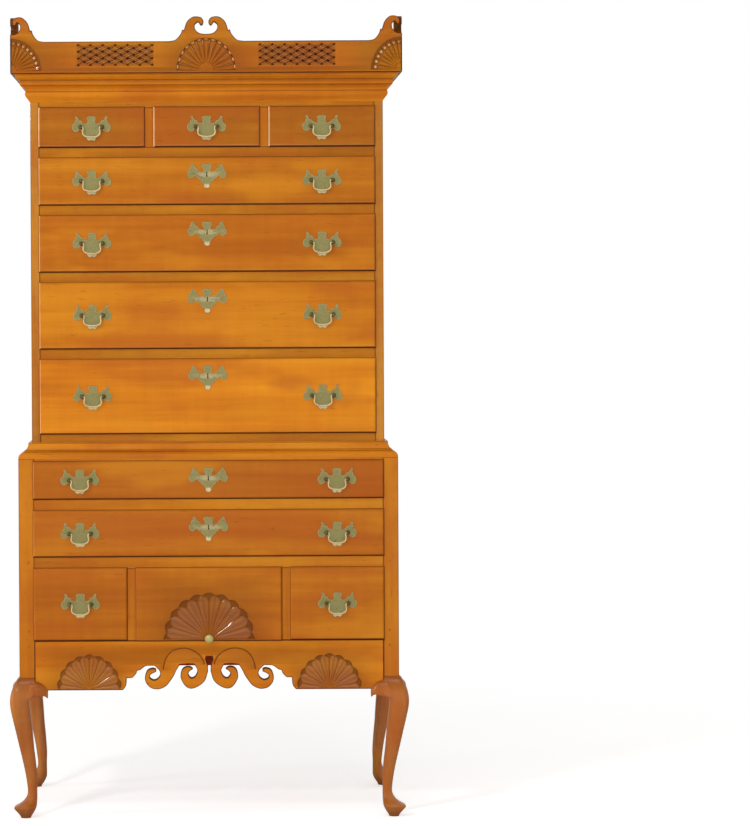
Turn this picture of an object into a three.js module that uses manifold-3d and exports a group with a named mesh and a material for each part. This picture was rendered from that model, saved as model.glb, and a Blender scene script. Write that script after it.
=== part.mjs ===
import * as THREE from 'three';
import * as BufferGeometryUtils from 'three/addons/utils/BufferGeometryUtils.js';
import Module from 'manifold-3d';

// A maple highboy: an upper case of seven drawers standing on a lower case of five.
// Millimetres. +Z is up, the front faces -Y, and the origin lies on the floor under the middle.

// Lower case
const lowerWidth = 1000;
const lowerDepth = 508;
const postWidth = 40;
const kneeTop = 372;
const apronBottom = 337.5;
const apronThickness = 22;
const lowerSideThickness = 20;
const lowerBackThickness = 12;
const lowerDrawerBase = 468;
const lowerRailShown = 27;
const lowerTopRailShown = 23.5;

// Upper case
const upperSideStep = 34.5;
const upperSetback = 30;
const upperSideThickness = 23;
const upperBackThickness = 12;
const upperFootRail = 44.5;
const upperRailShown = 25;
const friezeShown = 11.5;
const topBoardThickness = 14;

// Rails, shelves and dividers inside both cases
const railThickness = 22;
const shelfRailDepth = 60;
const shelfThickness = 12;
const dividerShown = 21;
const guideHeight = 14;

// Drawer fronts, from the top row down
const firstRowFront = 108;
const secondRowFront = 127;
const thirdRowFront = 152;
const fourthRowFront = 178;
const fifthRowFront = 199.5;
const sixthRowFront = 102.5;
const seventhRowFront = 125;
const eighthRowFront = 193.5;
const fanDrawerFront = 386;

// Drawer construction
const lipOverlap = 2.5;
const frontProud = 7;
const frontInside = 14;
const edgeWidth = 8;
const edgeDrop = 4;
const drawerSide = 12;
const drawerBack = 12;
const drawerBottom = 8;
const sideClearance = 1.5;
const topClearance = 4;
const backClearance = 34;

// Brasses
const plateHalfWidth = 50;
const plateUp = 31;
const plateDown = 37;
const plateThickness = 1.6;
const boltSpacing = 57;
const boltRadius = 4.2;
const boltLength = 13.5;
const boltSides = 8;
const pivotOut = 9.5;
const bailWireRadius = 2;
const wireSides = 6;
const bailSteps = 14;
const bailArmSpacing = 42;
const bailDrop = 26;
const pinPastBolt = 2.6;
const boreClearance = 0.3;
const escutcheonBelowTop = 47;
const escutcheonSizeShare = 1.05;
const knobRadius = 11.5;
const knobLength = 21;
const knobSides = 10;
const knobAboveEdge = 6;

// Mouldings and gallery
const corniceHeight = 73;
const corniceOut = 37;
const waistHeight = 23;
const waistOut = 19;
const galleryOut = 48.5;
const galleryHeight = 83;
const galleryThickness = 20;
const finialHeight = 147.5;
const finialHalfWidth = 98;
const cornerFinialShare = 0.9;

// Apron scrolls
const scrollSpan = 228;
const scrollRise = 88;

// Knee returns
const returnLength = 34;
const returnDrop = 23;
const returnSwell = 17;
const returnRise = 28;

// Fits: the seam is left between fixed pieces, the slide gap under a drawer
const seam = 0.2;
const slideGap = 0.3;
const overrun = 5;

// Places worked out from the sizes above
const halfWidth = lowerWidth / 2;
const halfDepth = lowerDepth / 2;
const frontY = -halfDepth;
const backY = halfDepth;
const apronTop = lowerDrawerBase - slideGap;
const eighthBase = lowerDrawerBase;
const seventhBase = eighthBase + eighthRowFront + lowerRailShown;
const sixthBase = seventhBase + seventhRowFront + lowerRailShown;
const lowerTop = sixthBase + sixthRowFront + lowerTopRailShown;
const lowerInnerHalf = halfWidth - postWidth;
const lowerShelfHalf = halfWidth - lowerSideThickness - seam;
const lowerBackFace = backY - lowerBackThickness - seam;

const upperHalf = halfWidth - upperSideStep;
const upperFrontY = frontY + upperSetback;
const upperInnerHalf = upperHalf - upperSideThickness;
const upperBackFace = backY - upperBackThickness - seam;
const fifthBase = lowerTop + upperFootRail;
const fourthBase = fifthBase + fifthRowFront + upperRailShown;
const thirdBase = fourthBase + fourthRowFront + upperRailShown;
const secondBase = thirdBase + thirdRowFront + upperRailShown;
const firstBase = secondBase + secondRowFront + upperRailShown;
const topRailBottom = firstBase + firstRowFront - lipOverlap;
const corniceBottom = firstBase + firstRowFront + friezeShown;
const upperTop = corniceBottom + corniceHeight;
const galleryHalf = upperHalf + galleryOut;
const galleryFrontY = upperFrontY - galleryOut;

const dividerWidth = dividerShown + 2 * lipOverlap;
const lowerFrontSpan = 2 * lowerInnerHalf + 2 * lipOverlap;
const upperFrontSpan = 2 * upperInnerHalf + 2 * lipOverlap;
const smallFront = (upperFrontSpan - 2 * dividerShown) / 3;
const sideFront = (lowerFrontSpan - fanDrawerFront - 2 * dividerShown) / 2;
const smallPitch = smallFront + dividerShown;
const sidePitch = (fanDrawerFront + sideFront) / 2 + dividerShown;
const upperDividerX = smallPitch / 2;
const lowerDividerX = (fanDrawerFront + dividerShown) / 2;

// Outlines, as shares of the sizes that they follow

// Right half of the apron's pierced scrolls, from the middle outwards: share of span, share of rise
const scrollStretchShares = [
  { points: [[0.035, 1], [0.04, 0.9], [0.018, 0.724], [0.0145, 0.55]], steps: 3 },
  {
    points: [[0.0145, 0.55], [0.044, 0.308], [0.086, 0.176], [0.146, 0.077], [0.205, 0.033], [0.256, 0.066],
      [0.298, 0.176], [0.33, 0.34], [0.332, 0.46], [0.32, 0.572], [0.298, 0.649], [0.26, 0.691],
      [0.215, 0.68], [0.189, 0.625]],
    steps: 13,
  },
  {
    points: [[0.201, 0.598], [0.225, 0.559], [0.243, 0.477], [0.221, 0.374], [0.196, 0.356], [0.168, 0.394],
      [0.146, 0.484], [0.139, 0.592], [0.155, 0.682], [0.175, 0.768]],
    steps: 9,
  },
  { points: [[0.247, 0.781], [0.34, 0.757]], steps: 1 },
  {
    points: [[0.383, 0.572], [0.412, 0.416], [0.446, 0.284], [0.493, 0.132], [0.552, 0.044], [0.61, 0.018],
      [0.68, 0.066], [0.733, 0.218], [0.744, 0.403], [0.714, 0.586], [0.656, 0.645], [0.615, 0.616]],
    steps: 12,
  },
  {
    points: [[0.615, 0.541], [0.656, 0.493], [0.686, 0.434], [0.679, 0.341], [0.632, 0.297], [0.585, 0.374],
      [0.568, 0.493], [0.585, 0.601], [0.632, 0.726]],
    steps: 8,
  },
  { points: [[0.719, 0.726], [0.75, 0.694], [0.797, 0.601]], steps: 2 },
  { points: [[0.835, 0.574], [0.845, 0.493], [0.877, 0.398], [0.898, 0.361]], steps: 3 },
  { points: [[0.957, 0.356], [0.963, 0.134], [1, 0]], steps: 2 },
];

// Right half of a finial from its foot to the middle: share of half width, share of height
const finialStretchShares = [
  {
    points: [[1, 0.563], [0.867, 0.576], [0.798, 0.6], [0.726, 0.651], [0.669, 0.708], [0.64, 0.768]],
    steps: 5,
  },
  {
    points: [[0.59, 0.759], [0.557, 0.839], [0.514, 0.905], [0.442, 0.957], [0.343, 0.996], [0.231, 1],
      [0.132, 0.982], [0.074, 0.934], [0.067, 0.896], [0.089, 0.859], [0.123, 0.841]],
    steps: 10,
  },
  {
    points: [[0.158, 0.854], [0.188, 0.887], [0.211, 0.902], [0.244, 0.891], [0.295, 0.859], [0.302, 0.811],
      [0.287, 0.774], [0.231, 0.727], [0.145, 0.699], [0, 0.688]],
    steps: 8,
  },
];

// Right half of a batwing plate, from the top lobe round to the bottom point:
// share of half width, then share of the height above or below the bolts
const plateOutlineShares = [
  [0, 1], [0.18, 0.84], [0.2, 0.52], [0.44, 0.52], [0.72, 0.94], [0.82, 0.55], [1, 0.06],
  [0.92, -0.3], [0.6, -0.24], [0.46, -0.51], [0.24, -0.73], [0, -1],
];

// Cornice, from the case's face outwards and up: share of projection, share of height
const corniceProfileShares = [
  [0, 0], [0.07, 0.07], [0.24, 0.18], [0.33, 0.28], [0.3, 0.38], [0.33, 0.46], [0.47, 0.55],
  [0.65, 0.6], [0.69, 0.78], [0.87, 0.86], [1, 0.89], [1, 1], [0, 1],
];

// Waist moulding: a fillet over a hollow
const waistProfileShares = [
  [0, 0], [1, 0], [0.96, 0.1], [0.76, 0.24], [0.6, 0.43], [0.5, 0.66], [0.46, 0.9], [0.46, 1], [0, 1],
];

// Cabriole leg, from the floor up: share of the knee's height, outward and inward reach
// as shares of the post, roundness of the outer corner and of the other three
const legLevelShares = [
  [0, -0.02, 0.68, 0.9, 0.95],
  [0.0145, 0.02, 0.725, 0.85, 0.95],
  [0.035, 0.15, 0.86, 0.55, 0.95],
  [0.059, 0.3, 0.985, 0.3, 0.95],
  [0.081, 0.41, 1.06, 0.12, 0.95],
  [0.091, 0.26, 1.07, 0.3, 0.95],
  [0.1, 0.07, 1.075, 0.5, 0.95],
  [0.118, -0.175, 1.08, 0.7, 0.95],
  [0.141, -0.35, 1.083, 0.85, 0.95],
  [0.165, -0.44, 1.083, 0.9, 0.95],
  [0.2, -0.448, 1.083, 0.9, 0.95],
  [0.271, -0.364, 1.097, 0.87, 0.92],
  [0.342, -0.256, 1.055, 0.82, 0.9],
  [0.413, -0.123, 0.995, 0.76, 0.85],
  [0.483, 0.015, 0.92, 0.67, 0.8],
  [0.554, 0.156, 0.87, 0.62, 0.76],
  [0.625, 0.296, 0.82, 0.6, 0.74],
  [0.69, 0.43, 0.76, 0.6, 0.7],
  [0.77, 0.58, 0.68, 0.6, 0.65],
  [0.815, 0.63, 0.64, 0.6, 0.6],
  [0.848, 0.625, 0.66, 0.58, 0.45],
  [0.866, 0.61, 0.95, 0.56, 0.3],
  [0.91, 0.52, 1, 0.55, 0.12],
  [0.955, 0.34, 1, 0.5, 0.08],
  [0.985, 0.16, 1, 0.3, 0.05],
  [1, 0, 1, 0.04, 0.04],
];
const postRoundShare = 0.04;
const ankleShare = 0.2;
const backToeShare = 0.6;

// Knee return, from inside the leg to its spur: share of length, drop, rise and swell
const returnSectionShares = [
  [-0.3, 0.72, 0.95, 1.25],
  [0.3, 0.72, 0.85, 1.1],
  [0.72, 0.62, 0.55, 0.62],
  [1, 1, 0.1, 0.12],
];

// Face of a knee return from its lower edge to its top: share of swell, share of height
const returnFaceShares = [[0.7, 0], [1, 0.45], [0.75, 0.8]];

// Right half of a bail from its pin down to the middle: share of arm, share of drop
const bailPathShares = [[1, -0.04], [1, 0.35], [0.93, 0.72], [0.66, 0.94], [0, 1]];

// Knob, from its foot to the middle of its face: share of radius, share of length
const knobProfileShares = [[0.4, 0], [0.4, 0.4], [0.85, 0.48], [1, 0.68], [0.8, 0.9], [0, 1]];

// Woods and metal
const mapleColour = 0xc27a34;
const pineColour = 0x9c7b55;
const brassColour = 0x9a8f5c;

const maple = () => new THREE.MeshStandardMaterial({ color: mapleColour, roughness: 0.42, metalness: 0 });
const pine = () => new THREE.MeshStandardMaterial({ color: pineColour, roughness: 0.85, metalness: 0 });
const brass = () => new THREE.MeshStandardMaterial({ color: brassColour, roughness: 0.4, metalness: 0.9 });

const wasm = await Module();
wasm.setup();

// Shape helpers

function solidOf(geometry) {
  const bare = geometry.clone();
  bare.deleteAttribute('normal');
  bare.deleteAttribute('uv');
  const merged = BufferGeometryUtils.mergeVertices(bare);
  const mesh = new wasm.Mesh({
    numProp: 3,
    vertProperties: merged.attributes.position.array,
    triVerts: new Uint32Array(merged.index.array),
  });
  return new wasm.Manifold(mesh);
}

function geometryOf(solid) {
  const mesh = solid.getMesh();
  const geometry = new THREE.BufferGeometry();
  geometry.setAttribute('position', new THREE.BufferAttribute(mesh.vertProperties, 3));
  geometry.setIndex(new THREE.BufferAttribute(mesh.triVerts, 1));
  return geometry;
}

function joined(first, ...others) {
  return geometryOf(others.reduce((sum, other) => sum.add(solidOf(other)), solidOf(first)));
}

function cut(first, ...others) {
  return geometryOf(others.reduce((rest, other) => rest.subtract(solidOf(other)), solidOf(first)));
}

function block(x0, x1, y0, y1, z0, z1) {
  const geometry = new THREE.BoxGeometry(x1 - x0, y1 - y0, z1 - z0);
  geometry.translate((x0 + x1) / 2, (y0 + y1) / 2, (z0 + z1) / 2);
  return geometry;
}

// A closed skin through equal rings of points, with flat ends
function loft(rings) {
  const count = rings[0].length;
  const positions = rings.flat().flatMap((point) => [point.x, point.y, point.z]);
  const faces = [];
  for (let ring = 0; ring < rings.length - 1; ring += 1) {
    for (let i = 0; i < count; i += 1) {
      const a = ring * count + i;
      const b = ring * count + (i + 1) % count;
      faces.push([a, b, b + count], [a, b + count, a + count]);
    }
  }
  const capFaces = (ring, flip) => {
    const [right, up] = planeAxes(ring);
    const flat = ring.map((point) => new THREE.Vector2(point.dot(right), point.dot(up)));
    return THREE.ShapeUtils.triangulateShape(flat, []).map(([a, b, c]) => (flip ? [a, c, b] : [a, b, c]));
  };
  const last = (rings.length - 1) * count;
  const start = capFaces(rings[0], true);
  const end = capFaces(rings[rings.length - 1], false).map((face) => face.map((i) => i + last));
  const geometry = new THREE.BufferGeometry();
  geometry.setAttribute('position', new THREE.Float32BufferAttribute(positions, 3));
  geometry.setIndex(faces.concat(start, end).flat());
  return facedOut(geometry);
}

// Two directions in a ring's plane, turned so that the ring runs anticlockwise
function planeAxes(ring) {
  const normal = new THREE.Vector3();
  ring.forEach((point, i) => {
    normal.add(new THREE.Vector3().crossVectors(point, ring[(i + 1) % ring.length]));
  });
  normal.normalize();
  const right = new THREE.Vector3().subVectors(ring[1], ring[0]).normalize();
  const up = new THREE.Vector3().crossVectors(normal, right);
  return [right, up];
}

// Turns every face round where the skin was wound inside out
function facedOut(geometry) {
  const place = geometry.attributes.position;
  const index = geometry.index.array;
  const corner = (i) => new THREE.Vector3().fromBufferAttribute(place, index[i]);
  let volume = 0;
  for (let i = 0; i < index.length; i += 3) {
    volume += corner(i).dot(new THREE.Vector3().crossVectors(corner(i + 1), corner(i + 2)));
  }
  if (volume < 0) {
    for (let i = 0; i < index.length; i += 3) {
      [index[i + 1], index[i + 2]] = [index[i + 2], index[i + 1]];
    }
  }
  return geometry;
}

// Points of an outline whose stretches run smoothly and meet at corners
function outlinePoints(stretches, across, high) {
  return stretches.flatMap(({ points, steps }) => {
    const knots = points.map(([x, y]) => new THREE.Vector2(x * across, y * high));
    const straight = steps < knots.length - 1 || knots.length < 3;
    return straight ? knots : new THREE.SplineCurve(knots).getPoints(steps);
  });
}

const mirrored = (points) => points.map((point) => new THREE.Vector2(-point.x, point.y)).reverse();
const shifted = (points, x, y) => points.map((point) => new THREE.Vector2(point.x + x, point.y + y));

// A board cut to an outline in the XZ plane, from its front face at y = 0 back to its thickness
function uprightBoard(points, thickness) {
  const shape = new THREE.Shape(points);
  const geometry = new THREE.ExtrudeGeometry(shape, { depth: thickness, bevelEnabled: false });
  geometry.rotateX(Math.PI / 2);
  geometry.translate(0, thickness, 0);
  return geometry;
}

// A moulding run round the front and both sides, mitred at the front corners
function mitredMoulding(profileShares, out, height, half, front, back) {
  const profile = profileShares.map(([x, z]) => [x * out + seam, z * height]);
  const station = (side, atFront) => profile.map(([x, z]) => (
    new THREE.Vector3(side * (half + x), atFront ? front - x : back, z)
  ));
  return loft([station(-1, false), station(-1, true), station(1, true), station(1, false)]);
}

function piece(name, geometry, material, x = 0, y = 0, z = 0) {
  const mesh = new THREE.Mesh(geometry, material);
  mesh.name = name;
  mesh.position.set(x, y, z);
  return mesh;
}

// Legs

// A ring of a leg round its post's outer corner: side and end give the quarter that it stands in
function legRing([height, outShare, inShare, outerRound, otherRound], side, end) {
  const out = outShare * postWidth;
  const inward = inShare * postWidth;
  const half = (out + inward) / 2;
  const corners = [[1, 1, outerRound], [-1, 1, otherRound], [-1, -1, otherRound], [1, -1, otherRound]];
  return corners.flatMap(([signX, signY, round], turn) => {
    const radius = round * half;
    const centreX = (signX > 0 ? out : -inward) - signX * radius;
    const centreY = (signY > 0 ? out : -inward) - signY * radius;
    return [0, 1, 2].map((step) => {
      const angle = (turn + step / 2) * Math.PI / 2;
      const x = centreX + radius * Math.cos(angle);
      const y = centreY + radius * Math.sin(angle);
      return new THREE.Vector3(side * x, end * y, height);
    });
  });
}

// A knee return: below the board it fills the board's thickness, above it only swells in front
function kneeReturn(side, end, alongX, boardThickness) {
  const boardEdge = apronBottom - seam;
  const stations = returnSectionShares.map(([along, drop, rise, swell]) => {
    const u = -postWidth - along * returnLength;
    const low = apronBottom - drop * returnDrop;
    const high = apronBottom + rise * returnRise;
    const front = seam + swell * returnSwell;
    const face = returnFaceShares.map(([outShare, upShare]) => (
      [outShare * front, low + upShare * (high - low)]
    ));
    const section = [
      [-boardThickness, low], ...face, [seam, high], [seam, boardEdge], [-boardThickness, boardEdge],
    ];
    return section.map(([v, z]) => (
      alongX ? new THREE.Vector3(side * u, end * v, z) : new THREE.Vector3(side * v, end * u, z)
    ));
  });
  return loft(stations);
}

// The toes of the back feet reach out less than those of the front feet
function leg(name, side, end) {
  const levels = legLevelShares.map(([height, out, ...rest]) => {
    const shortToe = end > 0 && height < ankleShare && out > 0;
    return [height * kneeTop, shortToe ? out * backToeShare : out, ...rest];
  });
  levels.push([lowerTop, 0, 1, postRoundShare, postRoundShare]);
  const shaft = loft(levels.map((level) => legRing(level, side, end)));
  const returns = [kneeReturn(side, end, false, lowerSideThickness)];
  if (end < 0) {
    returns.push(kneeReturn(side, end, true, apronThickness));
  }
  return piece(name, joined(shaft, ...returns), maple(), side * halfWidth, end * halfDepth, 0);
}

// Lower case boards

function apron() {
  const half = lowerInnerHalf - seam;
  const scrolls = outlinePoints(scrollStretchShares, scrollSpan, scrollRise);
  const height = apronTop - apronBottom;
  const right = [...scrolls, new THREE.Vector2(half, 0), new THREE.Vector2(half, height)];
  const board = uprightBoard([...right, ...mirrored(right)], apronThickness);
  return piece('apron', board, maple(), 0, frontY, apronBottom);
}

function lowerSide(name, side) {
  const length = lowerDepth - 2 * (postWidth + seam);
  const height = lowerTop - apronBottom;
  const geometry = new THREE.BoxGeometry(lowerSideThickness, length, height);
  const x = side * (halfWidth - lowerSideThickness / 2);
  return piece(name, geometry, maple(), x, 0, apronBottom + height / 2);
}

function lowerBack() {
  const width = 2 * (lowerInnerHalf - seam);
  const height = lowerTop - apronBottom;
  const geometry = new THREE.BoxGeometry(width, lowerBackThickness, height);
  return piece('lower_back', geometry, pine(), 0, backY - lowerBackThickness / 2, apronBottom + height / 2);
}

// A shelf of the lower case: its rail shows between the posts, the shelf behind is notched round them
function lowerShelf(name, bottom, top, middleGuides) {
  const notchX = lowerInnerHalf - seam;
  const notchY = halfDepth - postWidth - seam;
  const height = top - bottom;
  const low = height - shelfThickness;
  const guideTop = height + guideHeight;
  const rail = block(-notchX, notchX, frontY, frontY + shelfRailDepth, 0, height);
  const shelf = block(-lowerShelfHalf, lowerShelfHalf, -notchY, notchY, low, height);
  const rear = block(-notchX, notchX, 0, lowerBackFace, low, height);
  const parts = [shelf, rear, ...middleGuides];
  [-1, 1].forEach((side) => {
    const inner = side * lowerInnerHalf;
    const outer = side * lowerShelfHalf;
    parts.push(block(Math.min(inner, outer), Math.max(inner, outer), -notchY, notchY, low, guideTop));
  });
  return piece(name, joined(rail, ...parts), maple(), 0, 0, bottom);
}

// The lower case's open top frame carries the upper case; the bottom shelf lies behind the apron
function lowerTopFrame() {
  const notchX = lowerInnerHalf - seam;
  const notchY = halfDepth - postWidth - seam;
  const bottom = sixthBase + sixthRowFront - lipOverlap;
  const height = lowerTop - bottom;
  const middle = block(-lowerShelfHalf, lowerShelfHalf, -notchY, notchY, 0, height);
  const through = block(-notchX, notchX, frontY, lowerBackFace, 0, height);
  return piece('lower_top_board', joined(middle, through), maple(), 0, 0, bottom);
}

function lowerBottomShelf() {
  const notchX = lowerInnerHalf - seam;
  const notchY = halfDepth - postWidth - seam;
  const front = frontY + apronThickness + seam;
  const middle = block(-lowerShelfHalf, lowerShelfHalf, -notchY, notchY, 0, shelfThickness);
  const through = block(-notchX, notchX, front, lowerBackFace, 0, shelfThickness);
  const parts = [through, ...dividerGuides(lowerDividerX, frontY, lowerBackFace, shelfThickness)];
  [-1, 1].forEach((side) => {
    const inner = side * lowerInnerHalf;
    const outer = side * lowerShelfHalf;
    const top = shelfThickness + guideHeight;
    parts.push(block(Math.min(inner, outer), Math.max(inner, outer), -notchY, notchY, 0, top));
  });
  return piece('lower_bottom_shelf', joined(middle, ...parts), pine(), 0, 0, apronTop - shelfThickness);
}

// Low strips behind the dividers that keep the small drawers straight
function dividerGuides(dividerX, front, back, shelfTop) {
  return [-1, 1].map((side) => (
    block(
      side * dividerX - dividerWidth / 2,
      side * dividerX + dividerWidth / 2,
      front + railThickness + seam,
      back,
      shelfTop / 2,
      shelfTop + guideHeight,
    )
  ));
}

function divider(name, x, front, bottom, top) {
  const height = top - bottom - 2 * seam;
  const geometry = new THREE.BoxGeometry(dividerWidth, railThickness, height);
  return piece(name, geometry, maple(), x, front + railThickness / 2, bottom + seam + height / 2);
}

function waistMoulding() {
  const front = upperFrontY;
  const geometry = mitredMoulding(waistProfileShares, waistOut, waistHeight, upperHalf, front, backY);
  return piece('waist_moulding', geometry, maple(), 0, 0, lowerTop + seam);
}

// Upper case boards

function upperSide(name, side) {
  const length = backY - upperFrontY;
  const height = upperTop - lowerTop - seam;
  const geometry = new THREE.BoxGeometry(upperSideThickness, length, height);
  const x = side * (upperHalf - upperSideThickness / 2);
  return piece(name, geometry, maple(), x, upperFrontY + length / 2, lowerTop + seam + height / 2);
}

function upperBack() {
  const width = 2 * (upperInnerHalf - seam);
  const height = upperTop - lowerTop - seam;
  const geometry = new THREE.BoxGeometry(width, upperBackThickness, height);
  const y = backY - upperBackThickness / 2;
  return piece('upper_back', geometry, pine(), 0, y, lowerTop + seam + height / 2);
}

// The upper case's bottom: a board with a rail under its front and a cleat under its back
function upperBottom() {
  const half = upperInnerHalf - seam;
  const bottom = lowerTop + seam;
  const height = fifthBase - slideGap - bottom;
  const board = block(-half, half, upperFrontY, upperBackFace, height - shelfThickness, height);
  const rail = block(-half, half, upperFrontY, upperFrontY + railThickness, 0, height);
  const cleat = block(-half, half, upperBackFace - railThickness, upperBackFace, 0, height);
  return piece('upper_bottom', joined(board, rail, cleat), maple(), 0, 0, bottom);
}

function upperShelf(name, bottom, top, middleGuides) {
  const half = upperInnerHalf - seam;
  const height = top - bottom;
  const rail = block(-half, half, upperFrontY, upperFrontY + shelfRailDepth, 0, height);
  const shelf = block(-half, half, upperFrontY, upperBackFace, height - shelfThickness, height);
  return piece(name, joined(rail, shelf, ...middleGuides), maple(), 0, 0, bottom);
}

function upperTopRail() {
  const height = upperTop - topRailBottom;
  const geometry = new THREE.BoxGeometry(2 * (upperInnerHalf - seam), railThickness, height);
  const y = upperFrontY + railThickness / 2;
  return piece('upper_top_rail', geometry, maple(), 0, y, topRailBottom + height / 2);
}

function upperTopBoard() {
  const half = galleryHalf - galleryThickness - seam;
  const front = galleryFrontY + galleryThickness + seam;
  const length = backY - front;
  const geometry = new THREE.BoxGeometry(2 * half, length, topBoardThickness);
  return piece('upper_top', geometry, pine(), 0, front + length / 2, upperTop + seam + topBoardThickness / 2);
}

function cornice() {
  const front = upperFrontY;
  const geometry = mitredMoulding(corniceProfileShares, corniceOut, corniceHeight, upperHalf, front, backY);
  return piece('cornice', geometry, maple(), 0, 0, corniceBottom);
}

// Gallery

// The half finial that is folded round a front corner, running in from that corner
function cornerFinial() {
  const width = finialHalfWidth * cornerFinialShare;
  return mirrored(outlinePoints(finialStretchShares, width, finialHeight));
}

// A wedge beyond the mitre plane at a gallery board's end
function mitreWedge(half, side) {
  const height = finialHeight + 2 * overrun;
  const reach = galleryThickness + 2 * overrun;
  const near = half - seam / 2;
  const shape = new THREE.Shape([
    new THREE.Vector2(near + overrun, -overrun),
    new THREE.Vector2(near + reach, -overrun),
    new THREE.Vector2(near + reach, galleryThickness + overrun),
    new THREE.Vector2(near - galleryThickness - overrun, galleryThickness + overrun),
  ]);
  const geometry = new THREE.ExtrudeGeometry(shape, { depth: height, bevelEnabled: false });
  geometry.translate(0, 0, -overrun);
  if (side < 0) {
    geometry.rotateZ(Math.PI);
    geometry.translate(0, galleryThickness, 0);
  }
  return geometry;
}

function galleryFront() {
  const foot = [new THREE.Vector2(galleryHalf, 0)];
  const corner = shifted(cornerFinial(), galleryHalf, 0);
  const middle = outlinePoints(finialStretchShares, finialHalfWidth, finialHeight);
  const right = [...foot, ...corner, ...middle];
  const board = uprightBoard([...right, ...mirrored(right)], galleryThickness);
  const wedge = mitreWedge(galleryHalf, 1);
  const otherWedge = wedge.clone();
  otherWedge.scale(-1, 1, 1);
  const geometry = cut(board, wedge, turnedInsideOut(otherWedge));
  return piece('gallery_front', geometry, maple(), 0, galleryFrontY, upperTop + seam);
}

// A mirrored skin is wound backwards, so its faces are turned round
function turnedInsideOut(geometry) {
  const indexed = BufferGeometryUtils.mergeVertices(geometry);
  return facedOut(indexed);
}

// A side board is drawn as a front board, then turned to stand along its side
function gallerySide(name, side) {
  const length = backY - galleryFrontY;
  const corner = cornerFinial();
  const right = [new THREE.Vector2(0, 0), ...corner, new THREE.Vector2(-length, galleryHeight),
    new THREE.Vector2(-length, 0)];
  const board = uprightBoard(right, galleryThickness);
  let geometry = cut(board, mitreWedge(0, 1));
  geometry.rotateZ(-Math.PI / 2);
  if (side > 0) {
    geometry.scale(-1, 1, 1);
    geometry = facedOut(geometry);
  }
  return piece(name, geometry, maple(), side * galleryHalf, galleryFrontY, upperTop + seam);
}

// Brasses

function plate(sizeShare) {
  const right = plateOutlineShares.map(([x, z]) => new THREE.Vector2(
    x * plateHalfWidth * sizeShare,
    z * (z > 0 ? plateUp : plateDown) * sizeShare,
  ));
  const left = mirrored(right).slice(1, -1);
  const board = uprightBoard([...right, ...left], plateThickness + frontProud / 2);
  board.translate(0, -frontProud - plateThickness, 0);
  return board;
}

// A bolt with a round head, bored across for the bail's pin
function bolt(x) {
  const shank = new THREE.CylinderGeometry(boltRadius, boltRadius, boltLength + frontProud / 2, boltSides);
  shank.translate(x, -frontProud / 2 - (boltLength + frontProud / 2) / 2, 0);
  const half = bailWireRadius + boreClearance;
  const bore = block(
    x - boltRadius - overrun,
    x + boltRadius + overrun,
    -frontProud - pivotOut - half,
    -frontProud - pivotOut + half,
    -half,
    half,
  );
  return cut(shank, bore);
}

function bail(name) {
  const arm = bailArmSpacing / 2;
  const right = bailPathShares.map(([x, down]) => new THREE.Vector3(x * arm, 0, -down * bailDrop));
  const left = right.slice(0, -1).map((point) => new THREE.Vector3(-point.x, 0, point.z));
  const path = new THREE.CatmullRomCurve3([...left, ...right.reverse()]);
  const section = Array.from({ length: wireSides }, (_, i) => {
    const angle = (2 * Math.PI * i) / wireSides;
    return new THREE.Vector2(bailWireRadius * Math.cos(angle), bailWireRadius * Math.sin(angle));
  });
  const loop = new THREE.ExtrudeGeometry(new THREE.Shape(section), {
    steps: bailSteps,
    extrudePath: path,
    bevelEnabled: false,
  });
  const pinEnd = boltSpacing / 2 + pinPastBolt;
  const pins = [-1, 1].map((side) => {
    const length = pinEnd - arm + bailWireRadius / 2;
    const pin = new THREE.CylinderGeometry(bailWireRadius, bailWireRadius, length, wireSides);
    pin.rotateZ(Math.PI / 2);
    pin.translate(side * (arm + pinEnd - bailWireRadius / 2) / 2, 0, 0);
    return pin;
  });
  return piece(name, joined(loop, ...pins), brass());
}

function knob() {
  const side = knobProfileShares.map(([radius, along]) => (
    new THREE.Vector2(radius * knobRadius, along * knobLength)
  ));
  const geometry = new THREE.LatheGeometry([new THREE.Vector2(0, 0), ...side], knobSides);
  geometry.rotateX(Math.PI);
  return geometry;
}

// Drawers

// The lipped front, with its edge moulded down all round
function drawerFront(width, height) {
  const ring = (inset, y) => [
    new THREE.Vector3(-width / 2 + inset, y, inset),
    new THREE.Vector3(width / 2 - inset, y, inset),
    new THREE.Vector3(width / 2 - inset, y, height - inset),
    new THREE.Vector3(-width / 2 + inset, y, height - inset),
  ];
  return loft([
    ring(0, -slideGap),
    ring(0, edgeDrop - frontProud),
    ring(edgeWidth / 2, edgeDrop / 4 - frontProud),
    ring(edgeWidth, -frontProud),
  ]);
}

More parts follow.
